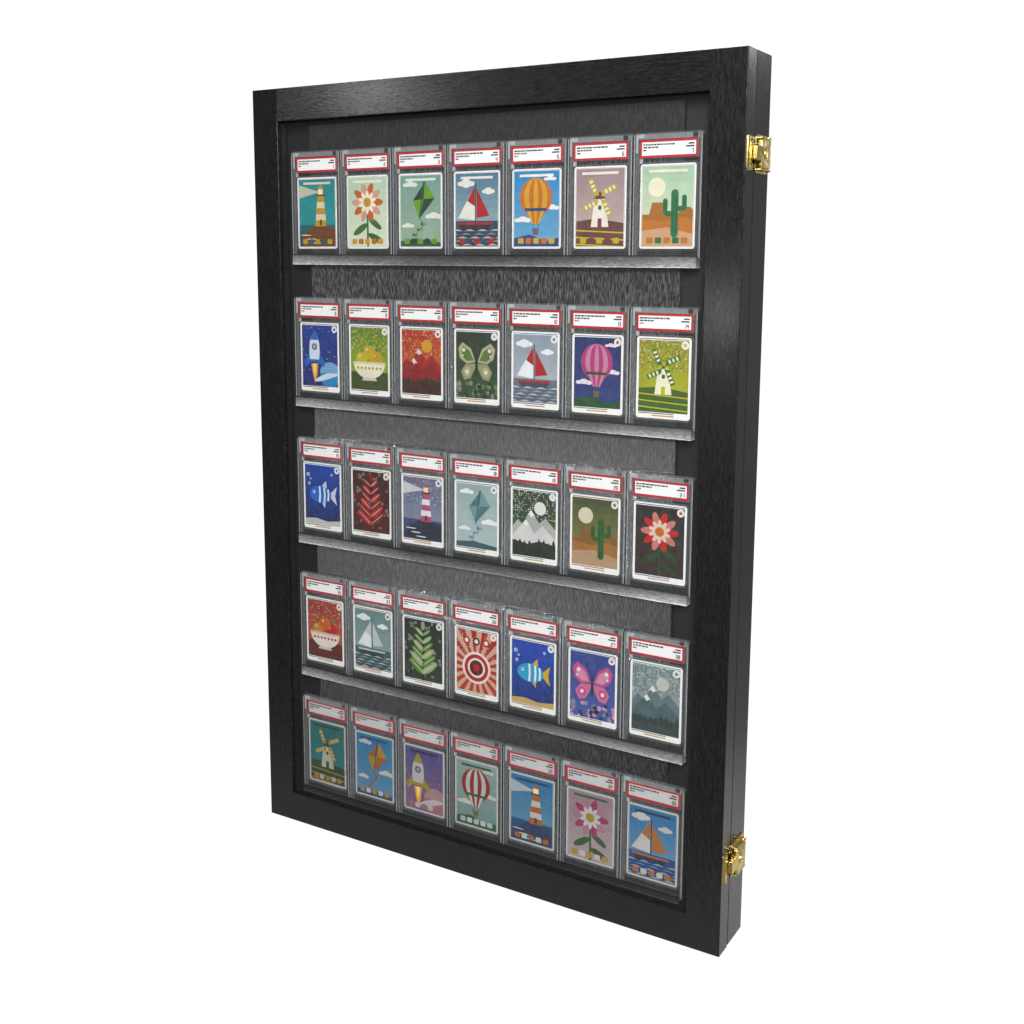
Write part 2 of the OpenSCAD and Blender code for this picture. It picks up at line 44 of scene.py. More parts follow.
# ------------------------------------------------------------------ node helpers
class Graph:
    """A short way to write a material's nodes."""

    def __init__(self, name):
        self.mat = bpy.data.materials.new(name)
        self.mat.use_nodes = True
        self.tree = self.mat.node_tree
        self.tree.nodes.clear()
        self.out = self.tree.nodes.new("ShaderNodeOutputMaterial")

    def add(self, kind, settings=None, **ins):
        n = self.tree.nodes.new("ShaderNode" + kind)
        for k, v in (settings or {}).items():
            setattr(n, k, v)
        for k, v in ins.items():
            key = int(k[1:]) if k[0] == "i" and k[1:].isdigit() else k.replace("_", " ")
            if isinstance(v, bpy.types.NodeSocket):
                self.tree.links.new(v, n.inputs[key])
            else:
                n.inputs[key].default_value = v
        return n

    def link(self, a, b):
        self.tree.links.new(a, b)

    def coords(self, scale):
        c = self.add("TexCoord").outputs["Object"]
        return self.add("Mapping", Vector=c, Scale=scale).outputs["Vector"]

    def noise(self, scale, detail=3.0, rough=0.6, distortion=0.0):
        return self.add("TexNoise", {"noise_dimensions": "3D"}, Vector=self.coords(scale), Scale=1.0,
                        Detail=detail, Roughness=rough, Distortion=distortion).outputs["Fac"]

    def ramp(self, fac, stops):
        n = self.add("ValToRGB", Fac=fac)
        e = n.color_ramp.elements
        while len(e) < len(stops):
            e.new(0.5)
        for el, (p, c) in zip(e, stops):
            el.position = p
            el.color = tuple(c) + (1,) if len(c) == 3 else c
        return n.outputs["Color"]

    def range(self, v, a, b, c, d):
        return self.add("MapRange", Value=v, From_Min=a, From_Max=b, To_Min=c, To_Max=d).outputs["Result"]

    def math(self, op, a, b=0.5, clamp=False):
        n = self.add("Math", {"operation": op, "use_clamp": clamp})
        for i, v in enumerate((a, b)):
            if isinstance(v, bpy.types.NodeSocket):
                self.link(v, n.inputs[i])
            else:
                n.inputs[i].default_value = v
        return n.outputs[0]

    def mix(self, fac, a, b, blend="MIX"):
        n = self.add("Mix", {"data_type": "RGBA", "blend_type": blend})
        for i, v in ((0, fac), (6, a), (7, b)):
            if isinstance(v, bpy.types.NodeSocket):
                self.link(v, n.inputs[i])
            else:
                n.inputs[i].default_value = v if i == 0 else (tuple(v) + (1,) if len(v) == 3 else v)
        return n.outputs[2]

    def bump(self, height, strength, distance, normal=None):
        n = self.add("Bump", Height=height, Strength=strength, Distance=distance)
        if normal is not None:
            self.link(normal, n.inputs["Normal"])
        return n.outputs["Normal"]

    def surface(self, socket):
        self.link(socket, self.out.inputs["Surface"])
        return self.mat


def grain_scale(axis, across, along):
    """Mapping scale for a grain that runs along one axis."""
    return tuple(along if i == "xyz".index(axis) else across for i in range(3))


# ------------------------------------------------------------------ materials
def painted_wood(name, axis):
    """Satin black stain over fine straight grain."""
    g = Graph(name)
    speck = g.noise(grain_scale(axis, 980, 110), 3.0, 0.66)
    pores = g.noise(grain_scale(axis, 1300, 190), 2.0, 0.6)
    broad = g.noise(grain_scale(axis, 30, 4), 3.0, 0.55, 0.6)
    blot = g.noise((9, 9, 9), 3.0, 0.6)
    col = g.ramp(speck, [(0.4, (0.0072, 0.0072, 0.0074)), (0.5, (0.0096, 0.0096, 0.0099)), (0.61, (0.0165, 0.0165, 0.017))])
    col = g.mix(g.range(broad, 0.4, 0.62, 0.0, 0.4), col, (0.0105, 0.0105, 0.0108))
    rough = g.math("ADD", g.range(speck, 0.4, 0.6, 0.2, 0.3), g.range(blot, 0.3, 0.7, -0.03, 0.05))
    n1 = g.bump(speck, 0.13, 0.0005)
    n2 = g.bump(g.range(pores, 0.36, 0.5, 0.0, 1.0), 0.1, 0.0003, n1)
    n3 = g.bump(broad, 0.06, 0.0016, n2)
    s = g.add("BsdfPrincipled", Base_Color=col, Roughness=rough, Normal=n3)
    s.inputs["Specular IOR Level"].default_value = 0.5
    s.inputs["Coat Weight"].default_value = 0.22
    s.inputs["Coat Roughness"].default_value = 0.16
    return g.surface(s.outputs[0])


def panel_wood(name):
    """Semi-gloss black stain over a fine vertical grain, dull and with painted shade along the joint with each ledge, a
    painted shadow under the top rail, and painted lighter and darker levels from row to row.
    """
    g = Graph(name)
    coarse = g.noise((900, 900, 105), 2.0, 0.55, 0.1)
    fine = g.noise((1500, 1500, 130), 3.0, 0.6)
    wave = g.noise((46, 46, 5), 3.0, 0.6, 1.1)
    streak = g.range(coarse, 0.42, 0.6, 0.0, 1.0)
    height = g.add("SeparateXYZ", Vector=g.add("TexCoord").outputs["Object"]).outputs["Z"]
    stops = []
    # painted light and shade: the brightness just under each ledge (below) and of the panel behind each row of holders
    # (behind), bottom ledge first
    below, behind = (0.4, 0.56, 0.4, 0.44, 1.2), (0.86, 1.02, 1.2, 1.45, 1.15)
    for n, z in enumerate(reversed(PANEL_JOINTS)):
        # painted shade: a dark band from under each ledge to just above its top
        stops += [(z - 17.5, below[n]), (z - 15.5, 0.25), (z + 6.2, 0.25), (z + 9.5, behind[n]), (z + 122.0, behind[n])]
        if n < 4:
            stops.append((z + 130.0, below[n + 1]))
    # painted shadow of the top rail along the panel's top
    stops += [(-26.0, 0.18)]
    stops = [(max(0.0, min(1.0, (z + 920) / 960)), (v, v, v)) for z, v in stops]
    # clean holds this painted light and shade, multiplied into the stain by height
    clean = g.ramp(g.range(height, -0.92, 0.04, 0.0, 1.0), stops)
    col = g.ramp(coarse, [(0.4, (0.0055, 0.0055, 0.0057)), (0.5, (0.0195, 0.0195, 0.0199)), (0.6, (0.08, 0.08, 0.081))])
    col = g.mix(g.range(wave, 0.4, 0.62, 0.0, 0.2), col, (0.021, 0.021, 0.0214))
    col = g.mix(1.0, col, clean, "MULTIPLY")
    rough = g.math("ADD", g.range(coarse, 0.4, 0.6, 0.26, 0.165), g.range(wave, 0.4, 0.6, -0.006, 0.012))
    rough = g.math("ADD", rough, g.range(clean, 0.25, 0.5, 0.5, 0.0), True)
    n1 = g.bump(streak, 0.13, 0.0005)
    n2 = g.bump(fine, 0.08, 0.0003, n1)
    n3 = g.bump(wave, 0.012, 0.002, n2)
    s = g.add("BsdfPrincipled", Base_Color=col, Roughness=rough, Normal=n3)
    s.inputs["Specular IOR Level"].default_value = 0.42
    return g.surface(s.outputs[0])


def ledge_wood(name, top, tall, amount):
    """Black stain over level grain on a rounded front edge: darker towards the top of the front, with a painted
    highlight along the lower edge and painted sheen near the ends.
    """
    g = Graph(name)
    speck = g.noise((150, 1500, 1500), 3.0, 0.66)
    fleck = g.noise((420, 2300, 2300), 2.0, 0.6)
    broad = g.noise((12, 90, 90), 3.0, 0.6)
    place = g.add("SeparateXYZ", Vector=g.add("TexCoord").outputs["Object"])
    low = g.range(place.outputs["Z"], (top - 1.0) / 1000, (top - tall) / 1000, 0.0, 1.0)
    # darker towards the top and lighter low down, with a painted highlight in a line near the lower edge
    dark_top_and_painted_edge_highlight = g.ramp(low, [(0.0, (0.008,) * 3), (0.07, (0.045,) * 3), (0.4, (0.085,) * 3), (0.84, (0.15,) * 3), (0.93, (0.36,) * 3), (0.99, (0.02,) * 3)])
    # painted sheen: the stain lighter towards both ends
    painted_end_sheen = g.range(g.math("ABSOLUTE", place.outputs["X"], 0.0), 0.08, 0.24, 0.85, 2.1)
    painted_end_sheen = g.math("MULTIPLY", painted_end_sheen, g.range(broad, 0.35, 0.65, 0.85, 1.2))
    # amount sets each ledge's painted brightness; grain here carries the speckle times the painted sheen
    grain = g.math("MULTIPLY", painted_end_sheen, g.range(speck, 0.42, 0.58, 0.62 * amount, 1.4 * amount))
    grain = g.math("MULTIPLY", grain, g.range(fleck, 0.4, 0.6, 0.86, 1.14))
    col = g.mix(1.0, dark_top_and_painted_edge_highlight, g.add("CombineColor", Red=grain, Green=grain, Blue=grain).outputs["Color"], "MULTIPLY")
    n1 = g.bump(speck, 0.22, 0.0004)
    s = g.add("BsdfPrincipled", Base_Color=col, Roughness=g.range(speck, 0.3, 0.7, 0.5, 0.38), Normal=n1)
    s.inputs["Specular IOR Level"].default_value = 0.45
    return g.surface(s.outputs[0])


def timber(name, axis):
    g = Graph(name)
    rings = g.noise(grain_scale(axis, 120, 6), 4.0, 0.6, 0.8)
    fine = g.noise(grain_scale(axis, 900, 60), 3.0, 0.65)
    col = g.ramp(rings, [(0.3, (0.42, 0.27, 0.14)), (0.55, (0.56, 0.39, 0.22)), (0.75, (0.66, 0.5, 0.31))])
    col = g.mix(g.range(fine, 0.35, 0.7, 0.0, 0.35), col, (0.3, 0.18, 0.09))
    n1 = g.bump(fine, 0.3, 0.0005)
    s = g.add("BsdfPrincipled", Base_Color=col, Roughness=g.range(fine, 0.3, 0.7, 0.5, 0.68), Normal=n1)
    return g.surface(s.outputs[0])


def hardboard(name):
    g = Graph(name)
    fibre = g.noise((500, 500, 500), 5.0, 0.7)
    cloud = g.noise((14, 14, 14), 4.0, 0.6)
    col = g.ramp(fibre, [(0.3, (0.003, 0.003, 0.0031)), (0.55, (0.007, 0.0069, 0.0068)), (0.75, (0.014, 0.0135, 0.013))])
    col = g.mix(g.range(cloud, 0.3, 0.7, 0.0, 0.5), col, (0.006, 0.006, 0.0062))
    n1 = g.bump(fibre, 0.3, 0.0005)
    s = g.add("BsdfPrincipled", Base_Color=col, Roughness=g.range(cloud, 0.3, 0.7, 0.5, 0.66), Normal=n1)
    return g.surface(s.outputs[0])


def brass(name):
    """Pressed brass with a bright, slightly uneven polish."""
    g = Graph(name)
    wear = g.noise((160, 160, 160), 4.0, 0.6)
    fine = g.noise((2200, 900, 2200), 3.0, 0.6)
    ripple = g.noise((75, 75, 75), 2.0, 0.5, 0.5)
    col = g.ramp(wear, [(0.3, (0.72, 0.52, 0.16)), (0.5, (0.86, 0.67, 0.25)), (0.72, (0.95, 0.82, 0.40))])
    rough = g.math("ADD", g.range(wear, 0.3, 0.7, 0.36, 0.22), g.range(fine, 0.3, 0.7, -0.02, 0.06))
    n1 = g.bump(fine, 0.06, 0.0003)
    n2 = g.bump(ripple, 0.14, 0.0016, n1)
    s = g.add("BsdfPrincipled", Base_Color=col, Roughness=rough, Normal=n2)
    s.inputs["Metallic"].default_value = 1.0
    return g.surface(s.outputs[0])


def zinc(name):
    g = Graph(name)
    spangle = g.noise((220, 220, 220), 3.0, 0.55)
    fine = g.noise((1500, 1500, 400), 3.0, 0.6)
    col = g.ramp(spangle, [(0.3, (0.42, 0.43, 0.45)), (0.55, (0.55, 0.56, 0.58)), (0.75, (0.68, 0.69, 0.72))])
    s = g.add("BsdfPrincipled", Base_Color=col, Roughness=g.range(fine, 0.3, 0.7, 0.26, 0.42),
              Normal=g.bump(fine, 0.08, 0.0003))
    s.inputs["Metallic"].default_value = 1.0
    return g.surface(s.outputs[0])


def felt(name):
    g = Graph(name)
    fuzz = g.noise((2600, 2600, 2600), 4.0, 0.75)
    clump = g.noise((500, 500, 500), 3.0, 0.6)
    col = g.ramp(fuzz, [(0.3, (0.006, 0.006, 0.0065)), (0.7, (0.03, 0.03, 0.031))])
    col = g.mix(g.range(clump, 0.3, 0.7, 0.0, 0.4), col, (0.018, 0.018, 0.019))
    s = g.add("BsdfPrincipled", Base_Color=col, Normal=g.bump(fuzz, 0.6, 0.0006))
    s.inputs["Roughness"].default_value = 0.95
    s.inputs["Sheen Weight"].default_value = 0.4
    return g.surface(s.outputs[0])


def see_through(name, tint, gloss_rough, share, haze, haze_col, scale=(60, 60, 60), wave_bump=0.02):
    """A clear plastic: mostly let through, with a weak gloss and a trace of haze."""
    g = Graph(name)
    wave = g.noise(scale, 2.0, 0.5)
    scuff = g.noise((260, 260, 40), 4.0, 0.7)
    normal = g.bump(wave, wave_bump, 0.001)
    clear = g.add("BsdfTransparent", Color=tint + (1,))
    gloss = g.add("BsdfPrincipled", Base_Color=haze_col + (1,), Roughness=g.range(scuff, 0.3, 0.8, gloss_rough, gloss_rough + 0.08), Normal=normal)
    gloss.inputs["Specular IOR Level"].default_value = 0.5
    facing = g.add("LayerWeight", Blend=0.5, Normal=normal).outputs["Facing"]
    fres = g.math("ADD", g.math("MULTIPLY", g.math("POWER", facing, 5.0), 0.9), 0.04)
    fac = g.math("ADD", g.math("MULTIPLY", fres, share), g.range(scuff, 0.45, 0.65, haze * 0.5, haze * 1.6), True)
    mixed = g.add("MixShader", i0=fac, i1=clear.outputs[0], i2=gloss.outputs[0])
    return g.surface(mixed.outputs[0])


def frosted(name, amount, tint):
    """The moulded, light-scattering strips of a holder."""
    g = Graph(name)
    tex = g.noise((900, 900, 260), 3.0, 0.7)
    broad = g.noise((60, 60, 90), 3.0, 0.6)
    clear = g.add("BsdfTransparent", Color=(0.97, 0.98, 0.98, 1))
    col = g.mix(g.range(broad, 0.3, 0.7, 0.0, 0.5), tint, tuple(0.72 * c for c in tint))
    white = g.add("BsdfPrincipled", Base_Color=col, Roughness=g.range(tex, 0.3, 0.7, 0.3, 0.55), Normal=g.bump(tex, 0.3, 0.0005))
    fac = g.range(tex, 0.25, 0.75, amount * 0.7, min(1.0, amount * 1.3))
    mixed = g.add("MixShader", i0=fac, i1=clear.outputs[0], i2=white.outputs[0])
    return g.surface(mixed.outputs[0])


def paper(name, tint, rough):
    g = Graph(name)
    fibre = g.noise((1800, 1800, 1800), 3.0, 0.65)
    cloud = g.noise((40, 40, 40), 3.0, 0.6)
    col = g.mix(g.range(fibre, 0.3, 0.7, 0.0, 0.35), tint, tuple(0.93 * c for c in tint))
    col = g.mix(g.range(cloud, 0.3, 0.7, 0.0, 0.35), col, (tint[0] * 0.985, tint[1] * 0.97, tint[2] * 0.93))
    s = g.add("BsdfPrincipled", Base_Color=col, Roughness=g.range(fibre, 0.3, 0.7, rough, rough + 0.12),
              Normal=g.bump(fibre, 0.08, 0.0002))
    return g.surface(s.outputs[0])


def ink(name, rough=0.42):
    """Printed colour, read from the piece, with the small unevenness of a printed sheet."""
    g = Graph(name)
    base = g.add("VertexColor", {"layer_name": "ink"}).outputs["Color"]
    dots = g.noise((1700, 1700, 1700), 2.0, 0.7)
    tone = g.noise((150, 150, 150), 4.0, 0.65)
    wash = g.noise((48, 48, 48), 3.0, 0.6)
    dark = g.mix(1.0, base, (0.62, 0.62, 0.64), "MULTIPLY")
    light = g.mix(0.045, base, (1.0, 0.98, 0.94))
    col = g.mix(g.range(dots, 0.32, 0.7, 0.0, 0.5), base, dark)
    col = g.mix(g.range(tone, 0.35, 0.72, 0.0, 0.55), col, light)
    col = g.mix(g.range(wash, 0.4, 0.72, 0.0, 0.35), col, dark)
    s = g.add("BsdfPrincipled", Base_Color=col, Roughness=g.range(tone, 0.3, 0.7, rough, rough + 0.1),
              Normal=g.bump(dots, 0.05, 0.0002))
    return g.surface(s.outputs[0])


LEDGE_TOP = [-150.95, -333.95, -516.95, -699.95, -871.95]
PANEL_JOINTS = LEDGE_TOP
WOOD_Z = painted_wood("black_wood_upright", "z")
WOOD_X = painted_wood("black_wood_level", "x")
WOOD_Y = painted_wood("black_wood_deep", "x")
PANEL = panel_wood("panel_wood")
# lighter and darker painted copies of one stain, one per ledge: the bottom ledge's low amount is painted shade
LEDGES = [ledge_wood(f"ledge_wood_{n + 1}", LEDGE_TOP[n], 8.4 if n == 4 else 14.0, (1.0, 1.1, 1.25, 1.0, 0.1)[n]) for n in range(5)]
TIMBER = timber("bare_timber", "x")
BOARD = hardboard("black_board")
BRASS = brass("polished_brass")
ZINC = zinc("zinc_steel")
FELT = felt("black_felt")
PANE = see_through("clear_sheet", (0.995, 0.997, 0.997), 0.04, 0.4, 0.0015, (0.3, 0.3, 0.3))
SHELL = see_through("clear_case", (0.99, 0.992, 0.994), 0.12, 0.4, 0.004, (0.3, 0.305, 0.31), (90, 90, 30), 0.05)
RIM = see_through("clear_case_rim", (0.96, 0.965, 0.97), 0.16, 0.7, 0.016, (0.75, 0.76, 0.77), (120, 120, 40), 0.12)
# painted shade: a darkening sheet for the holders' shaded side
SHADE_SHEET = see_through("clear_case_shade_sheet", (0.6, 0.605, 0.61), 0.16, 0.5, 0.0, (0.2, 0.2, 0.2), (120, 120, 40), 0.05)
# painted highlight: the thin light lines along the holders' rims
HIGHLIGHT_LINE = frosted("clear_case_highlight_line", 0.26, (0.8, 0.81, 0.82))
STRIP = frosted("clear_case_strip", 0.17, (0.7, 0.71, 0.72))
MIST = frosted("clear_case_mist", 0.05, (0.7, 0.71, 0.72))
# painted highlight: the brighter frosted patch at each holder's upper left corner
CORNER = frosted("clear_case_corner_highlight", 0.34, (0.8, 0.81, 0.82))
STOCK = paper("card_stock", (0.88, 0.865, 0.83), 0.4)
LABEL = paper("label_paper", (0.9, 0.9, 0.89), 0.42)
# painted shade: darker copies of the label and card papers for the bottom row
LABEL_SHADED = paper("label_paper_painted_shade", (0.56, 0.56, 0.555), 0.42)
STOCK_SHADED = paper("card_stock_painted_shade", (0.56, 0.545, 0.51), 0.4)
INK = ink("printed_ink")

finish = {
    "case_side_left": WOOD_Z, "case_side_right": WOOD_Z, "case_top": WOOD_X, "case_bottom": WOOD_X,
    "case_dowels": TIMBER, "door_dowels": TIMBER, "back_board": BOARD, "board_pins": ZINC,
    "display_panel": PANEL, "ledge_screws": ZINC, "hanging_rail_top": WOOD_X, "hanging_rail_bottom": WOOD_X,
    "hanger_plates": ZINC, "hanger_screws": ZINC, "door_bumpers": FELT,
    "hinge_leaves_case": BRASS, "hinge_leaves_door": BRASS, "hinge_pins": BRASS,
    "hinge_screws_case": BRASS, "hinge_screws_door": BRASS,
    "latch_base_upper": BRASS, "latch_base_lower": BRASS, "latch_base_screws": BRASS, "latch_pins": BRASS,
    "latch_catch_upper": BRASS, "latch_catch_lower": BRASS, "latch_catch_screws": BRASS,
    "latch_lever_upper": BRASS, "latch_lever_lower": BRASS, "lock_plug_upper": BRASS, "lock_plug_lower": BRASS,
    "door_stile_left": WOOD_Z, "door_stile_right": WOOD_Z, "door_rail_top": WOOD_X, "door_rail_bottom": WOOD_X,
    "pane": PANE, "pane_beads_side": WOOD_Z, "pane_beads_end": WOOD_X, "bead_pins": ZINC,
}
for n in range(1, 6):
    finish[f"ledge_row_{n}"] = LEDGES[n - 1]
    finish[f"cards_row_{n}"] = STOCK
    finish[f"labels_row_{n}"] = LABEL
    finish[f"card_holders_row_{n}"] = SHELL
# the bottom row gets the papers darkened with painted shade
finish["cards_row_5"] = STOCK_SHADED
finish["labels_row_5"] = LABEL_SHADED
for name, o in nodes.items():
    o.data.materials.clear()
    o.data.materials.append(finish[name])


# ------------------------------------------------------------------ mesh helpers, in millimetres
def turned(pts):
    """The outline, anticlockwise as seen from the front."""
    area = sum(a[0] * b[1] - b[0] * a[1] for a, b in zip(pts, pts[1:] + pts[:1]))
    return list(pts) if area > 0 else list(reversed(pts))


def rr(w, h, r, cx=0.0, cz=0.0, n=5):
    """A rounded rectangle."""
    r = max(r, 0.02)
    pts = []
    for sx, sz, a in ((1, -1, -90), (1, 1, 0), (-1, 1, 90), (-1, -1, 180)):
        for k in range(n + 1):
            t = math.radians(a + 90 * k / n)
            pts.append((cx + sx * (w / 2 - r) + r * math.cos(t), cz + sz * (h / 2 - r) + r * math.sin(t)))
    return pts


def rect(x0, z0, x1, z1):
    return [(x0, z0), (x1, z0), (x1, z1), (x0, z1)]


def ell(cx, cz, rx, rz=None, n=26, turn=0.0, a0=0.0, a1=360.0):
    rz = rx if rz is None else rz
    c, s = math.cos(math.radians(turn)), math.sin(math.radians(turn))
    full = abs(a1 - a0) >= 360
    pts = []
    for k in range(n if full else n + 1):
        t = math.radians(a0 + (a1 - a0) * k / n)
        x, z = rx * math.cos(t), rz * math.sin(t)
        pts.append((cx + x * c - z * s, cz + x * s + z * c))
    return pts


def clip(pts, x0, z0, x1, z1):
    """The part of an outline inside a rectangle."""
    for axis, lim, keep_low in ((0, x0, False), (0, x1, True), (1, z0, False), (1, z1, True)):
        out = []
        for a, b in zip(pts, pts[1:] + pts[:1]):
            ia = a[axis] <= lim if keep_low else a[axis] >= lim
            ib = b[axis] <= lim if keep_low else b[axis] >= lim
            if ia:
                out.append(a)
            if ia != ib:
                t = (lim - a[axis]) / (b[axis] - a[axis])
                out.append((a[0] + t * (b[0] - a[0]), a[1] + t * (b[1] - a[1])))
        pts = out
        if len(pts) < 3:
            return []
    clean = []
    for p in pts:
        if not clean or math.dist(p, clean[-1]) > 1e-3:
            clean.append(p)
    if len(clean) > 2 and math.dist(clean[0], clean[-1]) < 1e-3:
        clean.pop()
    area = sum(a[0] * b[1] - b[0] * a[1] for a, b in zip(clean, clean[1:] + clean[:1])) / 2 if len(clean) > 2 else 0
    return clean if abs(area) > 0.004 else []


class Build:
    """Collects closed solids drawn in x, z and pushed along y."""

    def __init__(self):
        self.v, self.f, self.m, self.c = [], [], [], []

    def _face(self, idx, m, col):
        self.f.append(idx)
        self.m.append(m)
        self.c.append(col)

    def stack(self, outlines, m=0, col=None):
        """A solid through several outlines of the same number of points, each with its y, front first."""
        n = len(outlines[0][0])
        base = len(self.v)
        for pts, y in outlines:
            self.v += [(x, y, z) for x, z in pts]
        self._face([base + i for i in range(n)], m, col)
        for k in range(len(outlines) - 1):
            a, b = base + k * n, base + (k + 1) * n
            for i in range(n):
                j = (i + 1) % n
                self._face([a + i, b + i, b + j, a + j], m, col)
        last = base + (len(outlines) - 1) * n
        self._face([last + i for i in reversed(range(n))], m, col)

    def prism(self, pts, y0, y1, m=0, col=None):
        pts = turned(pts)
        self.stack([(pts, y0), (pts, y1)], m, col)

    def plate(self, w, h, r, cx, cz, y0, y1, e, m=0, col=None):
        """A rounded plate with chamfered edges."""
        self.stack([(rr(w - 2 * e, h - 2 * e, r - e, cx, cz), y0), (rr(w, h, r, cx, cz), y0 + e),
                    (rr(w, h, r, cx, cz), y1 - e), (rr(w - 2 * e, h - 2 * e, r - e, cx, cz), y1)], m, col)

    def frame(self, w, h, r, cx, cz, profile, m=0, col=None):
        """A closed ring: a profile of (inset, y) points carried round a rounded rectangle."""
        base = len(self.v)
        k = len(profile)
        n = None
        for d, y in profile:
            pts = rr(w - 2 * d, h - 2 * d, r - d, cx, cz)
            n = len(pts)
            self.v += [(x, y, z) for x, z in pts]
        for a in range(k):
            b = (a + 1) % k
            for i in range(n):
                j = (i + 1) % n
                self._face([base + a * n + i, base + a * n + j, base + b * n + j, base + b * n + i], m, col)

    def ring(self, outer, inner, y0, y1, m=0, col=None):
        """A flat ring between two outlines of the same number of points."""
        outer, inner = turned(outer), turned(inner)
        n = len(outer)
        base = len(self.v)
        for pts, y in ((outer, y0), (inner, y0), (inner, y1), (outer, y1)):
            self.v += [(x, y, z) for x, z in pts]
        for a in range(4):
            b = (a + 1) % 4
            for i in range(n):
                j = (i + 1) % n
                self._face([base + a * n + i, base + a * n + j, base + b * n + j, base + b * n + i], m, col)

    def make(self, name, mats, smooth=None):
        me = bpy.data.meshes.new(name)
        me.from_pydata([(x / 1000, y / 1000, z / 1000) for x, y, z in self.v], [], self.f)
        for m in mats:
            me.materials.append(m)
        me.polygons.foreach_set("material_index", self.m)
        if any(c is not None for c in self.c):
            att = me.color_attributes.new(name="ink", type="FLOAT_COLOR", domain="CORNER")
            vals = []
            for p in me.polygons:
                c = self.c[p.index] or (0.8, 0.8, 0.8)
                for _ in range(p.loop_total):
                    vals += [c[0], c[1], c[2], 1.0]
            att.data.foreach_set("color", vals)
        me.validate()
        bm = bmesh.new()
        bm.from_mesh(me)
        bmesh.ops.recalc_face_normals(bm, faces=bm.faces)
        bm.to_mesh(me)
        bm.free()
        if smooth is not None:
            for p in me.polygons:
                p.use_smooth = True
            me.set_sharp_from_angle(angle=math.radians(smooth))
        o = bpy.data.objects.new(name, me)
        scene.collection.objects.link(o)
        return o


def softened(node, name, width, mat, segments=2, angle=32):
    """A pressed or cast piece: the node's form with its sharp edges rolled over."""
    src = nodes[node]
    me = src.data.copy()
    me.name = name
    bm = bmesh.new()
    bm.from_mesh(me)
    bmesh.ops.remove_doubles(bm, verts=bm.verts, dist=2e-6)
    bmesh.ops.dissolve_limit(bm, angle_limit=math.radians(2), verts=bm.verts, edges=bm.edges)
    edges = [e for e in bm.edges if len(e.link_faces) == 2 and e.calc_face_angle(0) > math.radians(angle)]
    bmesh.ops.bevel(bm, geom=edges, offset=width, offset_type="OFFSET", segments=segments, profile=0.5,
                    affect="EDGES", clamp_overlap=True)
    bmesh.ops.recalc_face_normals(bm, faces=bm.faces)
    bm.to_mesh(me)
    bm.free()
    me.materials.clear()
    me.materials.append(mat)
    for p in me.polygons:
        p.use_smooth = True
        p.material_index = 0
    me.set_sharp_from_angle(angle=math.radians(40))
    o = bpy.data.objects.new(name, me)
    scene.collection.objects.link(o)
    return o


# ------------------------------------------------------------------ card holders
ROW_TOP = [-22.45, -205.45, -388.45, -571.45, -743.45]
PITCH = 80.0
HOLD_W, HOLD_H, HOLD_R = 78.4, 134.0, 2.5
Y0, Y1 = -57.6, -51.2
CARD_W, CARD_H, CARD_DROP = 63.5, 88.9, 32.5
LABEL_W, LABEL_H, LABEL_DROP = 66.4, 18.8, 7.3
Y_PRINT = -54.5
rnd = random.Random(7)

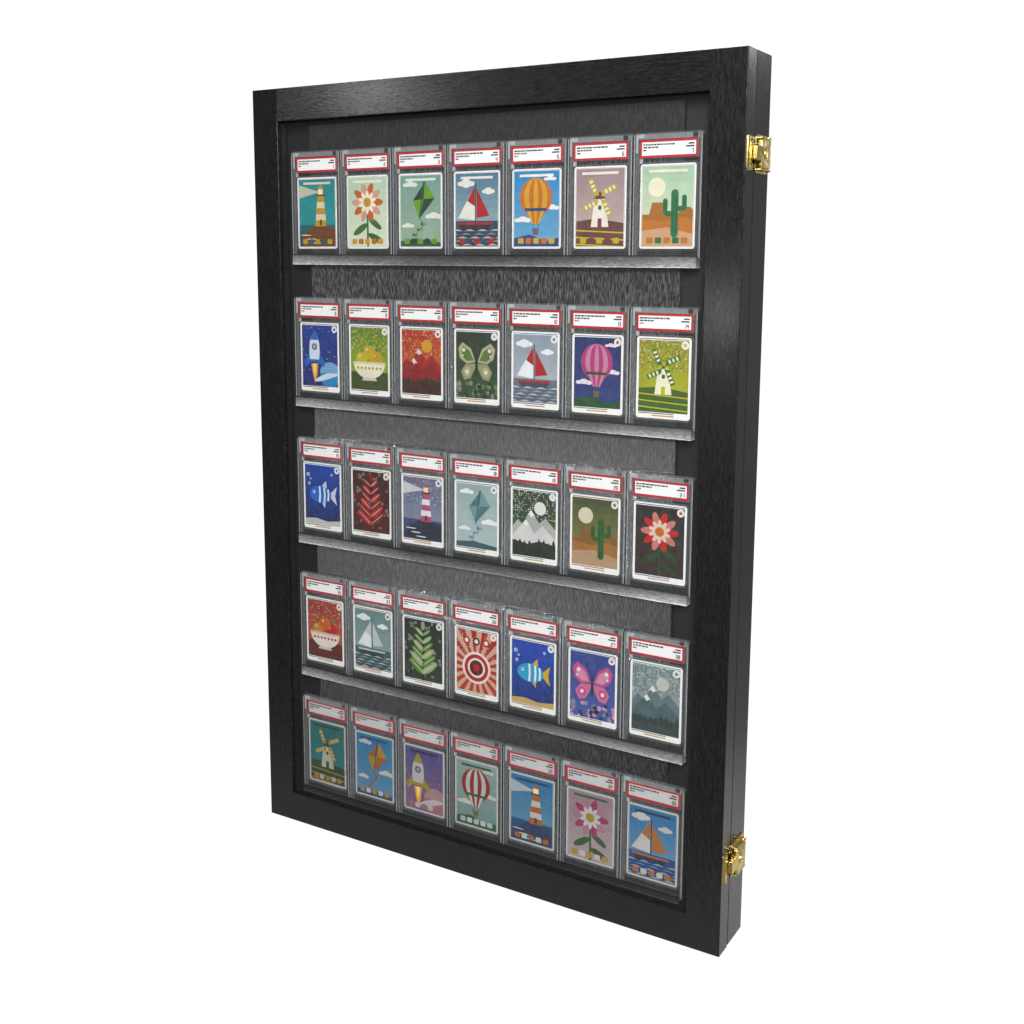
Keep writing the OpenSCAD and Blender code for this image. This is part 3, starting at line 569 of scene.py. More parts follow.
for row in range(5):
    b = Build()
    for col in range(7):
        cx, zt = (col - 3) * PITCH, ROW_TOP[row]
        cz = zt - HOLD_H / 2
        e = 0.5
        # the welded rim, with the parting line of the two shells round its outside
        b.frame(HOLD_W, HOLD_H, HOLD_R, cx, cz,
                [(0, Y0 + e), (e, Y0), (1.6, Y0), (2.1, Y0 + 0.5), (2.1, Y1 - 0.5), (1.6, Y1), (e, Y1), (0, Y1 - e),
                 (0, -54.0), (0.25, -54.2), (0.25, -54.6), (0, -54.8)], 1)
        # front and back windows
        b.plate(HOLD_W - 4.2, HOLD_H - 4.2, 1.2, cx, cz, Y0 + 0.5, Y0 + 1.4, 0.2, 0)
        b.plate(HOLD_W - 4.2, HOLD_H - 4.2, 1.2, cx, cz, Y1 - 1.4, Y1 - 0.5, 0.2, 0)
        # the wells round the card and the label
        ccz = zt - CARD_DROP - CARD_H / 2
        lcz = zt - LABEL_DROP - LABEL_H / 2
        b.frame(CARD_W + 4.2, CARD_H + 4.0, 4.4, cx, ccz, [(0, Y0 + 1.45), (1.1, Y0 + 1.45), (1.1, Y1 - 1.45), (0, Y1 - 1.45)], 1)
        b.frame(LABEL_W + 3.0, LABEL_H + 2.6, 1.6, cx, lcz, [(0, Y0 + 1.45), (0.8, Y0 + 1.45), (0.8, Y1 - 1.45), (0, Y1 - 1.45)], 1)
        # frosted band along the top with a clear notch near its right end, with a painted highlight making it brighter
        # at the left corner
        ys0, ys1 = Y0 + 1.5, Y0 + 1.9
        b.prism(rect(cx - 33.6, zt - 6.9, cx + 27.6, zt - 1.4), ys0, ys1, 2)
        b.prism(rect(cx + 33.4, zt - 6.9, cx + 35.6, zt - 1.4), ys0, ys1, 2)
        b.prism([(cx - 36.9, zt - 1.4), (cx - 36.9, zt - 21.0), (cx - 34.4, zt - 21.0), (cx - 34.4, zt - 5.6),
                 (cx - 27.5, zt - 5.6), (cx - 27.5, zt - 1.4)], ys0 - 0.05, ys1 + 0.05, 3)
        b.prism(rect(cx + 36.1, cz - 62.0, cx + 36.9, zt - 1.4), ys0, ys1, 2)
        # the short rib under the label's left end, and the band down the left side
        b.prism(rect(cx - 32.6, zt - 32.0, cx - 28.8, zt - 27.0), ys0, ys1, 3)
        b.prism(rect(cx - 36.9, cz - 62.5, cx - 33.4, zt - 21.4), ys0, ys1, 4)
        # the side the camera looks into carries a thin dark sheet of painted shade, and both long rims carry a thin
        # painted highlight line
        b.prism(rect(cx + 39.22, zt - 131.0, cx + 39.32, zt - 2.6), Y0 + 0.7, Y1 - 0.7, 5)
        # painted highlight: a thin light line along each long rim
        b.prism(rect(cx + 37.9, zt - 131.0, cx + 38.8, zt - 2.6), Y0 + 0.25, Y0 + 0.45, 6)
        b.prism(rect(cx - 38.8, zt - 131.0, cx - 37.8, zt - 2.6), Y0 + 0.25, Y0 + 0.45, 6)
    o = b.make(f"holder_shells_row_{row + 1}", [SHELL, RIM, STRIP, CORNER, MIST, SHADE_SHEET, HIGHLIGHT_LINE])
    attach(o, "case")
    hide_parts(f"card_holders_row_{row + 1}")

# ------------------------------------------------------------------ labels
RED = (0.5, 0.002, 0.007)
GREY = (0.012, 0.012, 0.014)
SEG = {0: "abcdef", 1: "bc", 2: "abged", 3: "abgcd", 4: "fgbc", 5: "afgcd", 6: "afgedc", 7: "abc", 8: "abcdefg", 9: "abcdfg"}


def digit(b, d, x, z, h, y0, y1, col):
    """One plain numeral made of bars, its lower left corner at x, z."""
    w, t = h * 0.52, h * 0.17
    bars = {"a": (0, h - t, w, h), "d": (0, 0, w, t), "g": (0, h / 2 - t / 2, w, h / 2 + t / 2),
            "f": (0, h / 2, t, h), "b": (w - t, h / 2, w, h), "e": (0, 0, t, h / 2), "c": (w - t, 0, w, h / 2)}
    for k in SEG[d]:
        x0, z0, x1, z1 = bars[k]
        b.prism(rect(x + x0, z + z0, x + x1, z + z1), y0 - 0.004 * (ord(k) - 96), y1, 0, col)


for row in range(5):
    b = Build()
    for col in range(7):
        cx, cz = (col - 3) * PITCH, ROW_TOP[row] - LABEL_DROP - LABEL_H / 2
        o1, i1 = rr(LABEL_W, LABEL_H, 0.6, cx, cz, 2), rr(LABEL_W - 5.0, LABEL_H - 5.0, 0.3, cx, cz, 2)
        b.ring(o1, i1, Y_PRINT - 0.12, Y_PRINT + 0.05, 0, RED)
        y0, y1 = Y_PRINT - 0.1, Y_PRINT + 0.05
        # greeked lines: two over a short one at the left, and a numbered box at the right
        x = cx - 29.2
        for k, (z, total, t) in enumerate(((3.4, 36, 1.7), (0.6, 17, 1.6), (-2.3, 4, 1.5))):
            pos = 0.0
            while pos < total:
                w = rnd.uniform(1.6, 4.6)
                b.prism(rect(x + pos, cz + z, x + min(pos + w, total + 1.5), cz + z + t), y0, y1, 0, GREY)
                pos += w + 0.8
        for k, (z, w) in enumerate(((3.4, 6.5), (0.6, 9.5))):
            b.prism(rect(cx + 28.8 - w, cz + z, cx + 28.8, cz + z + 1.6), y0, y1, 0, GREY)
        number = row * 7 + col + 1
        digs = [int(c) for c in str(number)]
        for k, d in enumerate(digs):
            digit(b, d, cx + 28.2 - (len(digs) - k) * 2.9 + 0.6, cz - 6.0, 4.6, y0, y1, (0.03, 0.03, 0.035))
    o = b.make(f"label_print_row_{row + 1}", [INK])
    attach(o, "case")

# ------------------------------------------------------------------ card pictures
def hexc(s):
    """A colour written as sRGB hex, in linear light."""
    out = []
    for k in (0, 2, 4):
        v = int(s[k:k + 2], 16) / 255
        out.append(v / 12.92 if v <= 0.04045 else ((v + 0.055) / 1.055) ** 2.4)
    return tuple(out)


def lerp(a, b, t):
    return tuple(x + (y - x) * t for x, y in zip(a, b))


def rich(c):
    """A printed colour: a little deeper and fuller than its swatch."""
    grey = 0.3 * c[0] + 0.55 * c[1] + 0.15 * c[2]
    deep = 0.66 + 0.3 * max(0.0, grey - 0.6) / 0.4
    return tuple(min(1.0, max(0.002, (grey + (v - grey) * 1.25) * deep)) for v in c)


class Card:
    """Draws one card's picture in layers, in its own window."""

    def __init__(self, b, cx, cz, w, h, ox=0.0, oz=0.0):
        self.b, self.cx, self.cz = b, cx + ox, cz + oz
        self.w, self.h = w, h
        self.depth = 0.02
        self.confetti = None

    def up(self):
        self.depth += 0.008

    def shape(self, pts, col, clipped=True, step=True):
        """Points from -1 to 1 across the window's half height, so that circles stay round."""
        s = self.h / 2
        q = [(x * s, z * s) for x, z in pts]
        if clipped:
            q = clip(q, -self.w / 2, -self.h / 2, self.w / 2, self.h / 2)
        if len(q) < 3:
            return
        if step:
            self.depth += 0.004
        self.b.prism([(self.cx + x, self.cz + z) for x, z in q], Y_PRINT - self.depth, Y_PRINT + 0.02, 0, col)

    def bands(self, z0, z1, c0, c1, n=7):
        a = self.w / self.h
        for k in range(n):
            za, zb = z0 + (z1 - z0) * k / n, z0 + (z1 - z0) * (k + 1) / n
            self.shape(rect(-a - 0.01, za, a + 0.01, zb), lerp(c0, c1, (k + 0.5) / n), step=False)
        self.up()
        if self.confetti:
            lo, hi, cols, seed = self.confetti
            self.confetti = None
            self.flecks(lo, hi, cols, seed)

    def flecks(self, z0, z1, cols, seed, cell=0.062):
        """A field of small blots that don't overlap, such as leaves or far-off bunting."""
        r = random.Random(seed)
        a = self.w / self.h
        nx, nz = int(2 * a / cell), int((z1 - z0) / cell)
        for i in range(nx):
            for j in range(nz):
                if r.random() < 0.2:
                    continue
                x = -a + (i + 0.5 + r.uniform(-0.12, 0.12)) * 2 * a / nx
                z = z0 + (j + 0.5 + r.uniform(-0.12, 0.12)) * (z1 - z0) / nz
                self.shape(ell(x, z, cell * r.uniform(0.24, 0.36), cell * r.uniform(0.24, 0.36), 6, r.uniform(0, 60)),
                           cols[r.randrange(len(cols))], step=False)
        self.up()

    def dots(self, x0, z0, x1, z1, cols, count, size, seed, n=7):
        r = random.Random(seed)
        for _ in range(count):
            self.shape(ell(r.uniform(x0, x1), r.uniform(z0, z1), size * r.uniform(0.6, 1.3), size * r.uniform(0.6, 1.3), n),
                       cols[r.randrange(len(cols))])
            if r.random() < 0.06:
                self.up()
        self.up()


def mountains(c, p):
    a = c.w / c.h
    c.bands(-1, 1, p[1], p[0])
    c.shape(ell(0.28 * a, 0.5, 0.2), p[3]); c.up()
    c.shape([(-a - 0.1, -0.25), (-0.75 * a, 0.1), (-0.5 * a, -0.05), (-0.1, 0.42), (0.18, 0.05), (0.4, 0.22), (a + 0.1, -0.2), (a + 0.1, -1), (-a - 0.1, -1)], lerp(p[2], p[0], 0.35)); c.up()
    c.shape([(-0.24, 0.23), (-0.1, 0.42), (0.04, 0.24), (-0.03, 0.27), (-0.08, 0.2), (-0.15, 0.28)], p[5]); c.up()
    c.shape([(-a - 0.1, -0.5), (-0.45, -0.08), (-0.28, 0.12), (0.02, -0.28), (0.3, -0.02), (a + 0.1, -0.5), (a + 0.1, -1), (-a - 0.1, -1)], p[2]); c.up()
    c.shape([(-0.38, 0.0), (-0.28, 0.12), (-0.15, -0.05), (-0.23, -0.03), (-0.28, -0.1), (-0.33, 0.0)], p[5]); c.up()
    c.shape([(-a - 0.1, -0.52), (-0.2, -0.62), (0.2, -0.5), (a + 0.1, -0.6), (a + 0.1, -1.1), (-a - 0.1, -1.1)], p[4]); c.up()
    r = random.Random(3)
    for k in range(9):
        x = -a + 0.1 + k * 2 * a / 9
        h = r.uniform(0.2, 0.36)
        z = -0.74 + r.uniform(-0.08, 0.06)
        for j in range(3):
            w = 0.1 * (1 - j * 0.22)
            c.shape([(x - w, z + j * h * 0.27), (x + w, z + j * h * 0.27), (x, z + j * h * 0.27 + h * 0.45)], lerp(p[4], (0.01, 0.02, 0.01), 0.55))
        c.up()


def sailboat(c, p):
    a = c.w / c.h
    c.bands(-0.3, 1, p[1], p[0])
    c.bands(-1, -0.3, lerp(p[2], (0, 0, 0), 0.35), p[2], 5)
    for x, z, s in ((-0.5 * a, 0.72, 0.16), (0.55 * a, 0.5, 0.12)):
        for dx, dz, q in ((-1.1, 0, 0.7), (0, 0.25, 1), (1.0, 0, 0.75), (0, -0.15, 0.9)):
            c.shape(ell(x + dx * s, z + dz * s, s * q, s * q * 0.6), p[5])
    c.up()
    c.shape([(-0.06, -0.28), (-0.06, 0.66), (-0.62, -0.22)], p[5]); c.up()
    c.shape([(-0.06, 0.1), (-0.06, 0.66), (-0.31, 0.25)], p[3]); c.up()
    c.shape([(0.0, -0.22), (0.0, 0.58), (0.42, -0.16)], p[3]); c.up()
    c.shape([(-0.045, -0.34), (-0.015, -0.34), (-0.015, 0.72), (-0.045, 0.72)], p[4])
    c.shape([(-0.62, -0.34), (0.52, -0.34), (0.36, -0.56), (-0.46, -0.56)], p[4]); c.up()
    c.shape([(-0.62, -0.34), (0.52, -0.34), (0.48, -0.4), (-0.58, -0.4)], p[3]); c.up()
    for k in range(5):
        z = -0.55 - k * 0.1
        pts = [(-a - 0.05, z - 0.025)]
        m = 16
        for j in range(m + 1):
            x = -a - 0.05 + j * (2 * a + 0.1) / m
            pts.append((x, z + 0.028 * math.sin(j * 1.4 + k * 1.9)))
        pts.append((a + 0.05, z - 0.025))
        c.shape(list(reversed(pts)), lerp(p[2], p[5], 0.55 if k % 2 == 0 else 0.25))
        c.up()


def balloon(c, p):
    a = c.w / c.h
    c.bands(-1, 1, p[1], p[0])
    for x, z, s in ((-0.42, -0.3, 0.14), (0.48, 0.02, 0.12), (0.42, 0.78, 0.1)):
        for dx, q in ((-1.2, 0.7), (0, 1), (1.1, 0.8)):
            c.shape(ell(x + dx * s, z + (0.2 * s if dx == 0 else 0), s * q, s * q * 0.55), p[5])
    c.up()
    cx, cz, r = -0.02, 0.3, 0.5
    c.shape([(cx - 0.34, 0.0), (cx + 0.34, 0.0), (cx + 0.09, -0.4), (cx - 0.09, -0.4)], p[2])
    c.shape(ell(cx, cz, r, r * 1.04, 30), p[2]); c.up()
    for f0, f1, colr in ((-0.72, -0.42, p[3]), (-0.14, 0.14, p[3]), (0.42, 0.72, p[3])):
        left = [(cx + f0 * r * math.cos(t), cz + r * 1.04 * math.sin(t)) for t in [math.radians(q) for q in range(-40, 91, 10)]]
        right = [(cx + f1 * r * math.cos(t), cz + r * 1.04 * math.sin(t)) for t in [math.radians(q) for q in range(90, -41, -10)]]
        c.shape(left + right + [(cx + f1 * 0.15, -0.4), (cx + f0 * 0.15, -0.4)], colr)
    c.up()
    c.shape(rect(cx - 0.34, -0.06, cx + 0.34, 0.02), p[4]); c.up()
    for s in (-1, 1):
        c.shape([(cx + s * 0.085, -0.4), (cx + s * 0.1, -0.4), (cx + s * 0.08, -0.55), (cx + s * 0.065, -0.55)], p[4])
    c.shape([(cx - 0.1, -0.52), (cx + 0.1, -0.52), (cx + 0.08, -0.7), (cx - 0.08, -0.7)], lerp(p[4], (0.3, 0.15, 0.04), 0.5)); c.up()
    c.shape([(-a - 0.1, -0.8), (-0.2, -0.68), (0.3, -0.86), (a + 0.1, -0.74), (a + 0.1, -1.1), (-a - 0.1, -1.1)], p[4]); c.up()


def fish(c, p):
    a = c.w / c.h
    c.bands(-1, 1, lerp(p[1], (0, 0, 0), 0.3), p[0], 8)
    for k, x in enumerate((-0.6, -0.48, 0.5, 0.62)):
        pts = []
        for j in range(9):
            z = -1.05 + j * 0.14
            pts.append((x + 0.05 * math.sin(j * 0.9 + k) - 0.035 * (1 - j / 9), z))
        for j in reversed(range(9)):
            z = -1.05 + j * 0.14
            pts.append((x + 0.05 * math.sin(j * 0.9 + k) + 0.035 * (1 - j / 9), z))
        c.shape(pts, p[4])
    c.up()
    c.shape([(0.26, 0.02), (0.62, 0.34), (0.54, 0.02), (0.62, -0.3)], p[3])
    c.shape([(-0.1, 0.22), (0.16, 0.5), (0.2, 0.14)], p[3])
    c.shape([(-0.06, -0.2), (0.1, -0.44), (0.14, -0.14)], p[3]); c.up()
    c.shape(ell(-0.08, 0.02, 0.46, 0.29, 32), p[2]); c.up()
    for x in (-0.12, 0.08, 0.24):
        h = 0.29 * math.sqrt(max(0, 1 - ((x + 0.08) / 0.46) ** 2)) * 0.96
        c.shape([(x - 0.035, 0.02 - h), (x + 0.035, 0.02 - h * 0.98), (x + 0.055, 0.02), (x + 0.035, 0.02 + h * 0.98), (x - 0.035, 0.02 + h), (x - 0.015, 0.02)], p[5])
    c.up()
    c.shape(ell(-0.36, 0.09, 0.055), p[5]); c.up()
    c.shape(ell(-0.37, 0.09, 0.028), (0.01, 0.01, 0.012)); c.up()
    for x, z, s in ((-0.56, 0.36, 0.05), (-0.5, 0.52, 0.035), (-0.6, 0.66, 0.06), (0.4, 0.72, 0.04)):
        c.shape(ell(x, z, s), p[5]); c.up()
        c.shape(ell(x, z, s * 0.72), lerp(p[0], p[5], 0.25)); c.up()
    c.shape([(-a - 0.1, -0.86), (-0.3, -0.8), (0.2, -0.88), (a + 0.1, -0.8), (a + 0.1, -1.1), (-a - 0.1, -1.1)], lerp(p[3], (0.5, 0.4, 0.2), 0.5)); c.up()


def flower(c, p):
    a = c.w / c.h
    c.bands(-1, 1, p[1], p[0], 6)
    c.shape([(-0.02, -1.1), (0.05, -1.1), (0.03, 0.2), (-0.03, 0.2)], p[4])
    c.shape(ell(-0.26, -0.5, 0.3, 0.1, 20, 32), p[4])
    c.shape(ell(0.28, -0.34, 0.28, 0.09, 20, -34), p[4])
    c.shape(ell(0.3, -0.76, 0.3, 0.1, 20, -24), lerp(p[4], (0, 0, 0), 0.25)); c.up()
    n = 10
    for k in range(n):
        t = 360 * k / n
        c.shape(ell(0.33 * math.cos(math.radians(t)), 0.28 + 0.33 * math.sin(math.radians(t)), 0.25, 0.105, 18, t), p[2] if k % 2 == 0 else lerp(p[2], p[5], 0.3))
        c.up()
    for k in range(n):
        t = 360 * (k + 0.5) / n
        c.shape(ell(0.2 * math.cos(math.radians(t)), 0.28 + 0.2 * math.sin(math.radians(t)), 0.14, 0.06, 14, t), p[5])
    c.up()
    c.shape(ell(0, 0.28, 0.14), p[3]); c.up()
    c.dots(-0.09, 0.19, 0.09, 0.37, [lerp(p[3], (0.1, 0.03, 0), 0.6)], 14, 0.016, 5)


def rocket(c, p):
    a = c.w / c.h
    c.bands(-1, 1, p[1], p[0], 8)
    c.dots(-a, -1, a, 1, [p[5]], 34, 0.016, 9, 5)
    c.shape(ell(0.42, -0.62, 0.42, 0.42, 30), p[3]); c.up()
    c.shape(ell(0.42, -0.62, 0.66, 0.1, 30, 18), p[5]); c.up()
    c.shape(ell(0.42, -0.55, 0.42, 0.36, 30, 0, 0, 180), lerp(p[3], p[5], 0.25)); c.up()
    c.shape([(-0.36, -0.26), (-0.08, -0.26), (-0.12, -0.62), (-0.22, -0.9), (-0.3, -0.6)], (0.9, 0.36, 0.03)); c.up()
    c.shape([(-0.28, -0.26), (-0.16, -0.26), (-0.18, -0.48), (-0.22, -0.66), (-0.26, -0.48)], (0.95, 0.8, 0.2)); c.up()
    body = [(-0.4, -0.22), (-0.04, -0.22), (0.0, 0.1), (-0.02, 0.42), (-0.1, 0.66), (-0.22, 0.84), (-0.34, 0.66), (-0.42, 0.42), (-0.44, 0.1)]
    c.shape([(-0.42, 0.08), (-0.66, -0.2), (-0.6, -0.38), (-0.38, -0.18)], p[2])
    c.shape([(-0.02, 0.08), (0.22, -0.2), (0.16, -0.38), (-0.06, -0.18)], p[2]); c.up()
    c.shape(body, p[5]); c.up()
    c.shape([(-0.1, 0.66), (-0.22, 0.84), (-0.34, 0.66), (-0.38, 0.52), (-0.06, 0.52)], p[2])
    c.shape(rect(-0.42, -0.22, -0.02, -0.12), p[2]); c.up()
    c.shape(ell(-0.22, 0.3, 0.11), p[4]); c.up()
    c.shape(ell(-0.22, 0.3, 0.075), lerp(p[0], p[5], 0.5)); c.up()


def lighthouse(c, p):
    a = c.w / c.h
    c.bands(-0.35, 1, p[1], p[0])
    c.bands(-1, -0.35, lerp(p[2], (0, 0, 0), 0.4), lerp(p[2], p[0], 0.2), 4)
    c.shape([(0.12, 0.62), (-a - 0.1, 0.86), (-a - 0.1, 0.42)], lerp(p[1], p[5], 0.7)); c.up()
    c.shape([(-0.5, -0.62), (-0.2, -0.4), (0.1, -0.34), (0.55, -0.42), (a + 0.1, -0.5), (a + 0.1, -1.1), (-0.4, -1.1), (-0.62, -0.8)], p[4]); c.up()
    zs = [-0.4, -0.22, -0.04, 0.14, 0.32, 0.5]
    for k in range(5):
        w0, w1 = 0.22 - 0.02 * k, 0.22 - 0.02 * (k + 1)
        c.shape([(0.14 - w0, zs[k]), (0.14 + w0, zs[k]), (0.14 + w1, zs[k + 1]), (0.14 - w1, zs[k + 1])], p[3] if k % 2 == 0 else p[5])
    c.up()
    c.shape(rect(-0.02, 0.5, 0.3, 0.55), p[4])
    c.shape(rect(0.05, 0.55, 0.23, 0.7), (0.95, 0.82, 0.35))
    c.shape([(0.02, 0.7), (0.26, 0.7), (0.14, 0.84)], p[3]); c.up()
    c.shape(rect(0.1, -0.36, 0.18, -0.2), p[4])
    for k in range(3):
        z = -0.66 - 0.12 * k
        c.shape(ell(-0.45 + 0.2 * k, z, 0.2, 0.018, 14), p[5])
    c.up()


def desert(c, p):
    a = c.w / c.h
    c.bands(-0.4, 1, p[1], p[0])
    c.shape(ell(-0.3, 0.48, 0.24), p[5]); c.up()
    c.shape([(-a - 0.1, -0.2), (-0.5, -0.2), (-0.42, 0.1), (-0.12, 0.1), (-0.04, -0.2), (0.3, -0.2), (0.36, -0.02), (0.62, -0.02), (a + 0.1, -0.2), (a + 0.1, -0.5), (-a - 0.1, -0.5)], lerp(p[3], p[4], 0.4)); c.up()
    c.shape([(-a - 0.1, -0.3), (-0.1, -0.38), (0.4, -0.26), (a + 0.1, -0.36), (a + 0.1, -1.1), (-a - 0.1, -1.1)], p[3]); c.up()
    c.shape([(-a - 0.1, -0.62), (0.0, -0.52), (a + 0.1, -0.72), (a + 0.1, -1.1), (-a - 0.1, -1.1)], lerp(p[3], p[5], 0.3)); c.up()
    def arm(x, z0, z1, w):
        c.shape(rr(2 * w, z1 - z0, w * 0.98, x, (z0 + z1) / 2, 6), p[2])
    arm(0.2, -0.78, 0.42, 0.1)
    arm(-0.06, -0.2, 0.2, 0.065)
    arm(0.46, -0.1, 0.28, 0.065)
    c.shape(rr(0.3, 0.13, 0.06, 0.08, -0.18, 6), p[2])
    c.shape(rr(0.3, 0.13, 0.06, 0.33, -0.06, 6), p[2]); c.up()
    for x, z0, z1 in ((0.16, -0.7, 0.34), (0.24, -0.7, 0.34), (-0.06, -0.12, 0.14), (0.46, -0.02, 0.22)):
        c.shape(rect(x - 0.01, z0, x + 0.01, z1), lerp(p[2], (0, 0, 0), 0.4))
    c.up()


def butterfly(c, p):
    a = c.w / c.h
    c.bands(-1, 1, p[1], p[0], 6)
    c.dots(-a, -1, a, -0.55, [p[4], lerp(p[4], p[5], 0.3), p[3]], 40, 0.07, 4, 8)
    for s in (-1, 1):
        c.shape([(s * 0.04, 0.1), (s * 0.2, 0.5), (s * 0.5, 0.68), (s * 0.66, 0.5), (s * 0.6, 0.2), (s * 0.36, 0.04)], p[2])
        c.shape([(s * 0.04, 0.06), (s * 0.4, 0.02), (s * 0.56, -0.2), (s * 0.44, -0.46), (s * 0.22, -0.4), (s * 0.06, -0.12)], lerp(p[2], p[3], 0.45))
        c.up()
        c.shape([(s * 0.1, 0.14), (s * 0.24, 0.42), (s * 0.48, 0.56), (s * 0.55, 0.42), (s * 0.5, 0.24), (s * 0.34, 0.12)], p[3])
        c.shape(ell(s * 0.34, -0.2, 0.13, 0.15, 18, s * 20), p[2])
        c.up()
        c.shape(ell(s * 0.46, 0.45, 0.06), p[5])
        c.shape(ell(s * 0.34, -0.2, 0.06), p[5])
        c.shape(ell(s * 0.5, 0.28, 0.035), p[5])
        c.up()
    c.shape(ell(0, 0.02, 0.045, 0.34, 20), p[4]); c.up()
    for s in (-1, 1):
        c.shape([(s * 0.01, 0.34), (s * 0.03, 0.34), (s * 0.2, 0.66), (s * 0.18, 0.67)], p[4])
        c.shape(ell(s * 0.19, 0.67, 0.03), p[4])
    c.up()


def fruit(c, p):
    a = c.w / c.h
    c.bands(-0.42, 1, p[1], p[0], 5)
    c.shape(rect(-a - 0.05, -1.05, a + 0.05, -0.42), p[4]); c.up()
    for k in range(4):
        c.shape(rect(-a - 0.05, -0.52 - 0.15 * k, a + 0.05, -0.5 - 0.15 * k), lerp(p[4], (0, 0, 0), 0.3))
    c.up()
    for x, z, r, q in ((-0.3, 0.0, 0.23, p[3]), (0.28, 0.02, 0.25, p[2]), (0.0, 0.22, 0.24, lerp(p[3], p[2], 0.5))):
        c.shape(ell(x, z, r, r * 0.96, 26), q); c.up()
        c.shape(ell(x - r * 0.35, z + r * 0.35, r * 0.24, r * 0.18, 14, 40), lerp(q, p[5], 0.6))
        c.shape([(x - 0.012, z + r * 0.85), (x + 0.012, z + r * 0.85), (x + 0.05, z + r * 1.3), (x + 0.025, z + r * 1.32)], (0.05, 0.03, 0.01))
        c.shape(ell(x + r * 0.45, z + r * 1.2, r * 0.36, r * 0.14, 14, 24), (0.06, 0.24, 0.05)); c.up()
    c.shape(ell(0, -0.14, 0.62, 0.5, 30, 0, 180, 360), p[5]); c.up()
    c.shape(rect(-0.64, -0.17, 0.64, -0.1), lerp(p[5], p[2], 0.35))
    c.shape([(-0.24, -0.6), (0.24, -0.6), (0.3, -0.7), (-0.3, -0.7)], lerp(p[5], (0, 0, 0), 0.25)); c.up()
    for k in range(7):
        c.shape(ell(-0.45 + 0.15 * k, -0.3, 0.045), p[2])
    c.up()


def kite(c, p):
    a = c.w / c.h
    c.bands(-1, 1, p[1], p[0])
    for x, z, s in ((-0.36, 0.74, 0.14), (0.46, -0.16, 0.16), (-0.44, -0.42, 0.12)):
        for dx, q in ((-1.1, 0.7), (0, 1), (1.1, 0.75)):
            c.shape(ell(x + dx * s, z + (0.2 * s if dx == 0 else 0), s * q, s * q * 0.55), p[5])
    c.up()
    t, l, r, b = (0.16, 0.82), (-0.26, 0.3), (0.5, 0.36), (-0.04, -0.22)
    m = (0.11, 0.33)
    for tri, q in (((t, l, m), p[2]), ((t, m, r), p[3]), ((l, b, m), p[3]), ((m, b, r), p[2])):
        c.shape(list(tri), q)
    c.up()
    c.shape([(m[0] - 0.01, t[1]), (t[0] + 0.008, t[1]), (b[0] + 0.012, b[1]), (b[0] - 0.012, b[1])], p[4]); c.up()
    pts = [(b[0] + 0.14 * math.sin(k * 0.75), b[1] - k * 0.075) for k in range(10)]
    for q0, q1 in zip(pts, pts[1:]):
        c.shape([(q0[0] - 0.012, q0[1]), (q0[0] + 0.012, q0[1]), (q1[0] + 0.012, q1[1]), (q1[0] - 0.012, q1[1])], p[4])
    c.up()
    for k in (2, 4, 6, 8):
        x, z = pts[k]
        c.shape([(x, z), (x - 0.09, z + 0.05), (x - 0.09, z - 0.05)], p[2])
        c.shape([(x, z), (x + 0.09, z + 0.05), (x + 0.09, z - 0.05)], p[3])
    c.up()
    c.shape([(-a - 0.1, -0.86), (-0.1, -0.78), (a + 0.1, -0.9), (a + 0.1, -1.1), (-a - 0.1, -1.1)], p[4]); c.up()


def rays(c, p):
    a = c.w / c.h
    c.bands(-1, 1, p[1], p[0], 4)
    n = 18
    for k in range(n):
        t0, t1 = math.radians(360 * k / n), math.radians(360 * (k + 0.5) / n)
        c.shape([(0, -0.2), (1.8 * math.cos(t0), -0.2 + 1.8 * math.sin(t0)), (1.8 * math.cos(t1), -0.2 + 1.8 * math.sin(t1))], p[2])
        if k % 4 == 3:
            c.up()
    c.up()
    for r, q in ((0.52, p[5]), (0.44, p[3]), (0.32, p[5]), (0.25, p[4]), (0.12, p[3])):
        c.shape(ell(0, -0.2, r, r, 34), q); c.up()
    for k in range(3):
        c.shape(ell(-0.36 + 0.36 * k, 0.66, 0.13, 0.13, 22), p[4] if k == 1 else p[3]); c.up()
        c.shape(ell(-0.36 + 0.36 * k, 0.66, 0.07, 0.07, 16), p[5]); c.up()


def windmill(c, p):
    a = c.w / c.h
    c.bands(-0.4, 1, p[1], p[0])
    c.shape([(-a - 0.1, -0.36), (-0.1, -0.28), (a + 0.1, -0.42), (a + 0.1, -1.1), (-a - 0.1, -1.1)], p[4]); c.up()
    for k in range(6):
        z0, z1 = -0.5 - 0.09 * k, -0.54 - 0.09 * k
        c.shape([(-a - 0.1, z0 + 0.03), (a + 0.1, z0 - 0.05), (a + 0.1, z1 - 0.05), (-a - 0.1, z1 + 0.03)], p[3] if k % 2 else p[2])
    c.up()
    c.shape([(-0.26, -0.5), (0.26, -0.5), (0.15, 0.24), (-0.15, 0.24)], p[5]); c.up()
    c.shape([(-0.18, 0.22), (0.18, 0.22), (0.0, 0.42)], p[2])
    c.shape(rect(-0.06, -0.5, 0.06, -0.28), p[2])
    c.shape(rr(0.1, 0.12, 0.04, 0, 0.0), p[4]); c.up()
    for k in range(4):
        t = math.radians(24 + 90 * k)
        d, e = (math.cos(t), math.sin(t)), (-math.sin(t), math.cos(t))
        q = [(0.05, 0.0), (0.56, 0.0), (0.56, 0.14), (0.14, 0.14)]
        c.shape([(d[0] * x + e[0] * z, 0.26 + d[1] * x + e[1] * z) for x, z in q], p[3]); c.up()
        for x in (0.2, 0.32, 0.44):
            c.shape([(d[0] * u + e[0] * v, 0.26 + d[1] * u + e[1] * v) for u, v in ((x, 0.02), (x + 0.06, 0.02), (x + 0.06, 0.12), (x, 0.12))], p[5])
        c.up()
    c.shape(ell(0, 0.26, 0.05), p[4]); c.up()


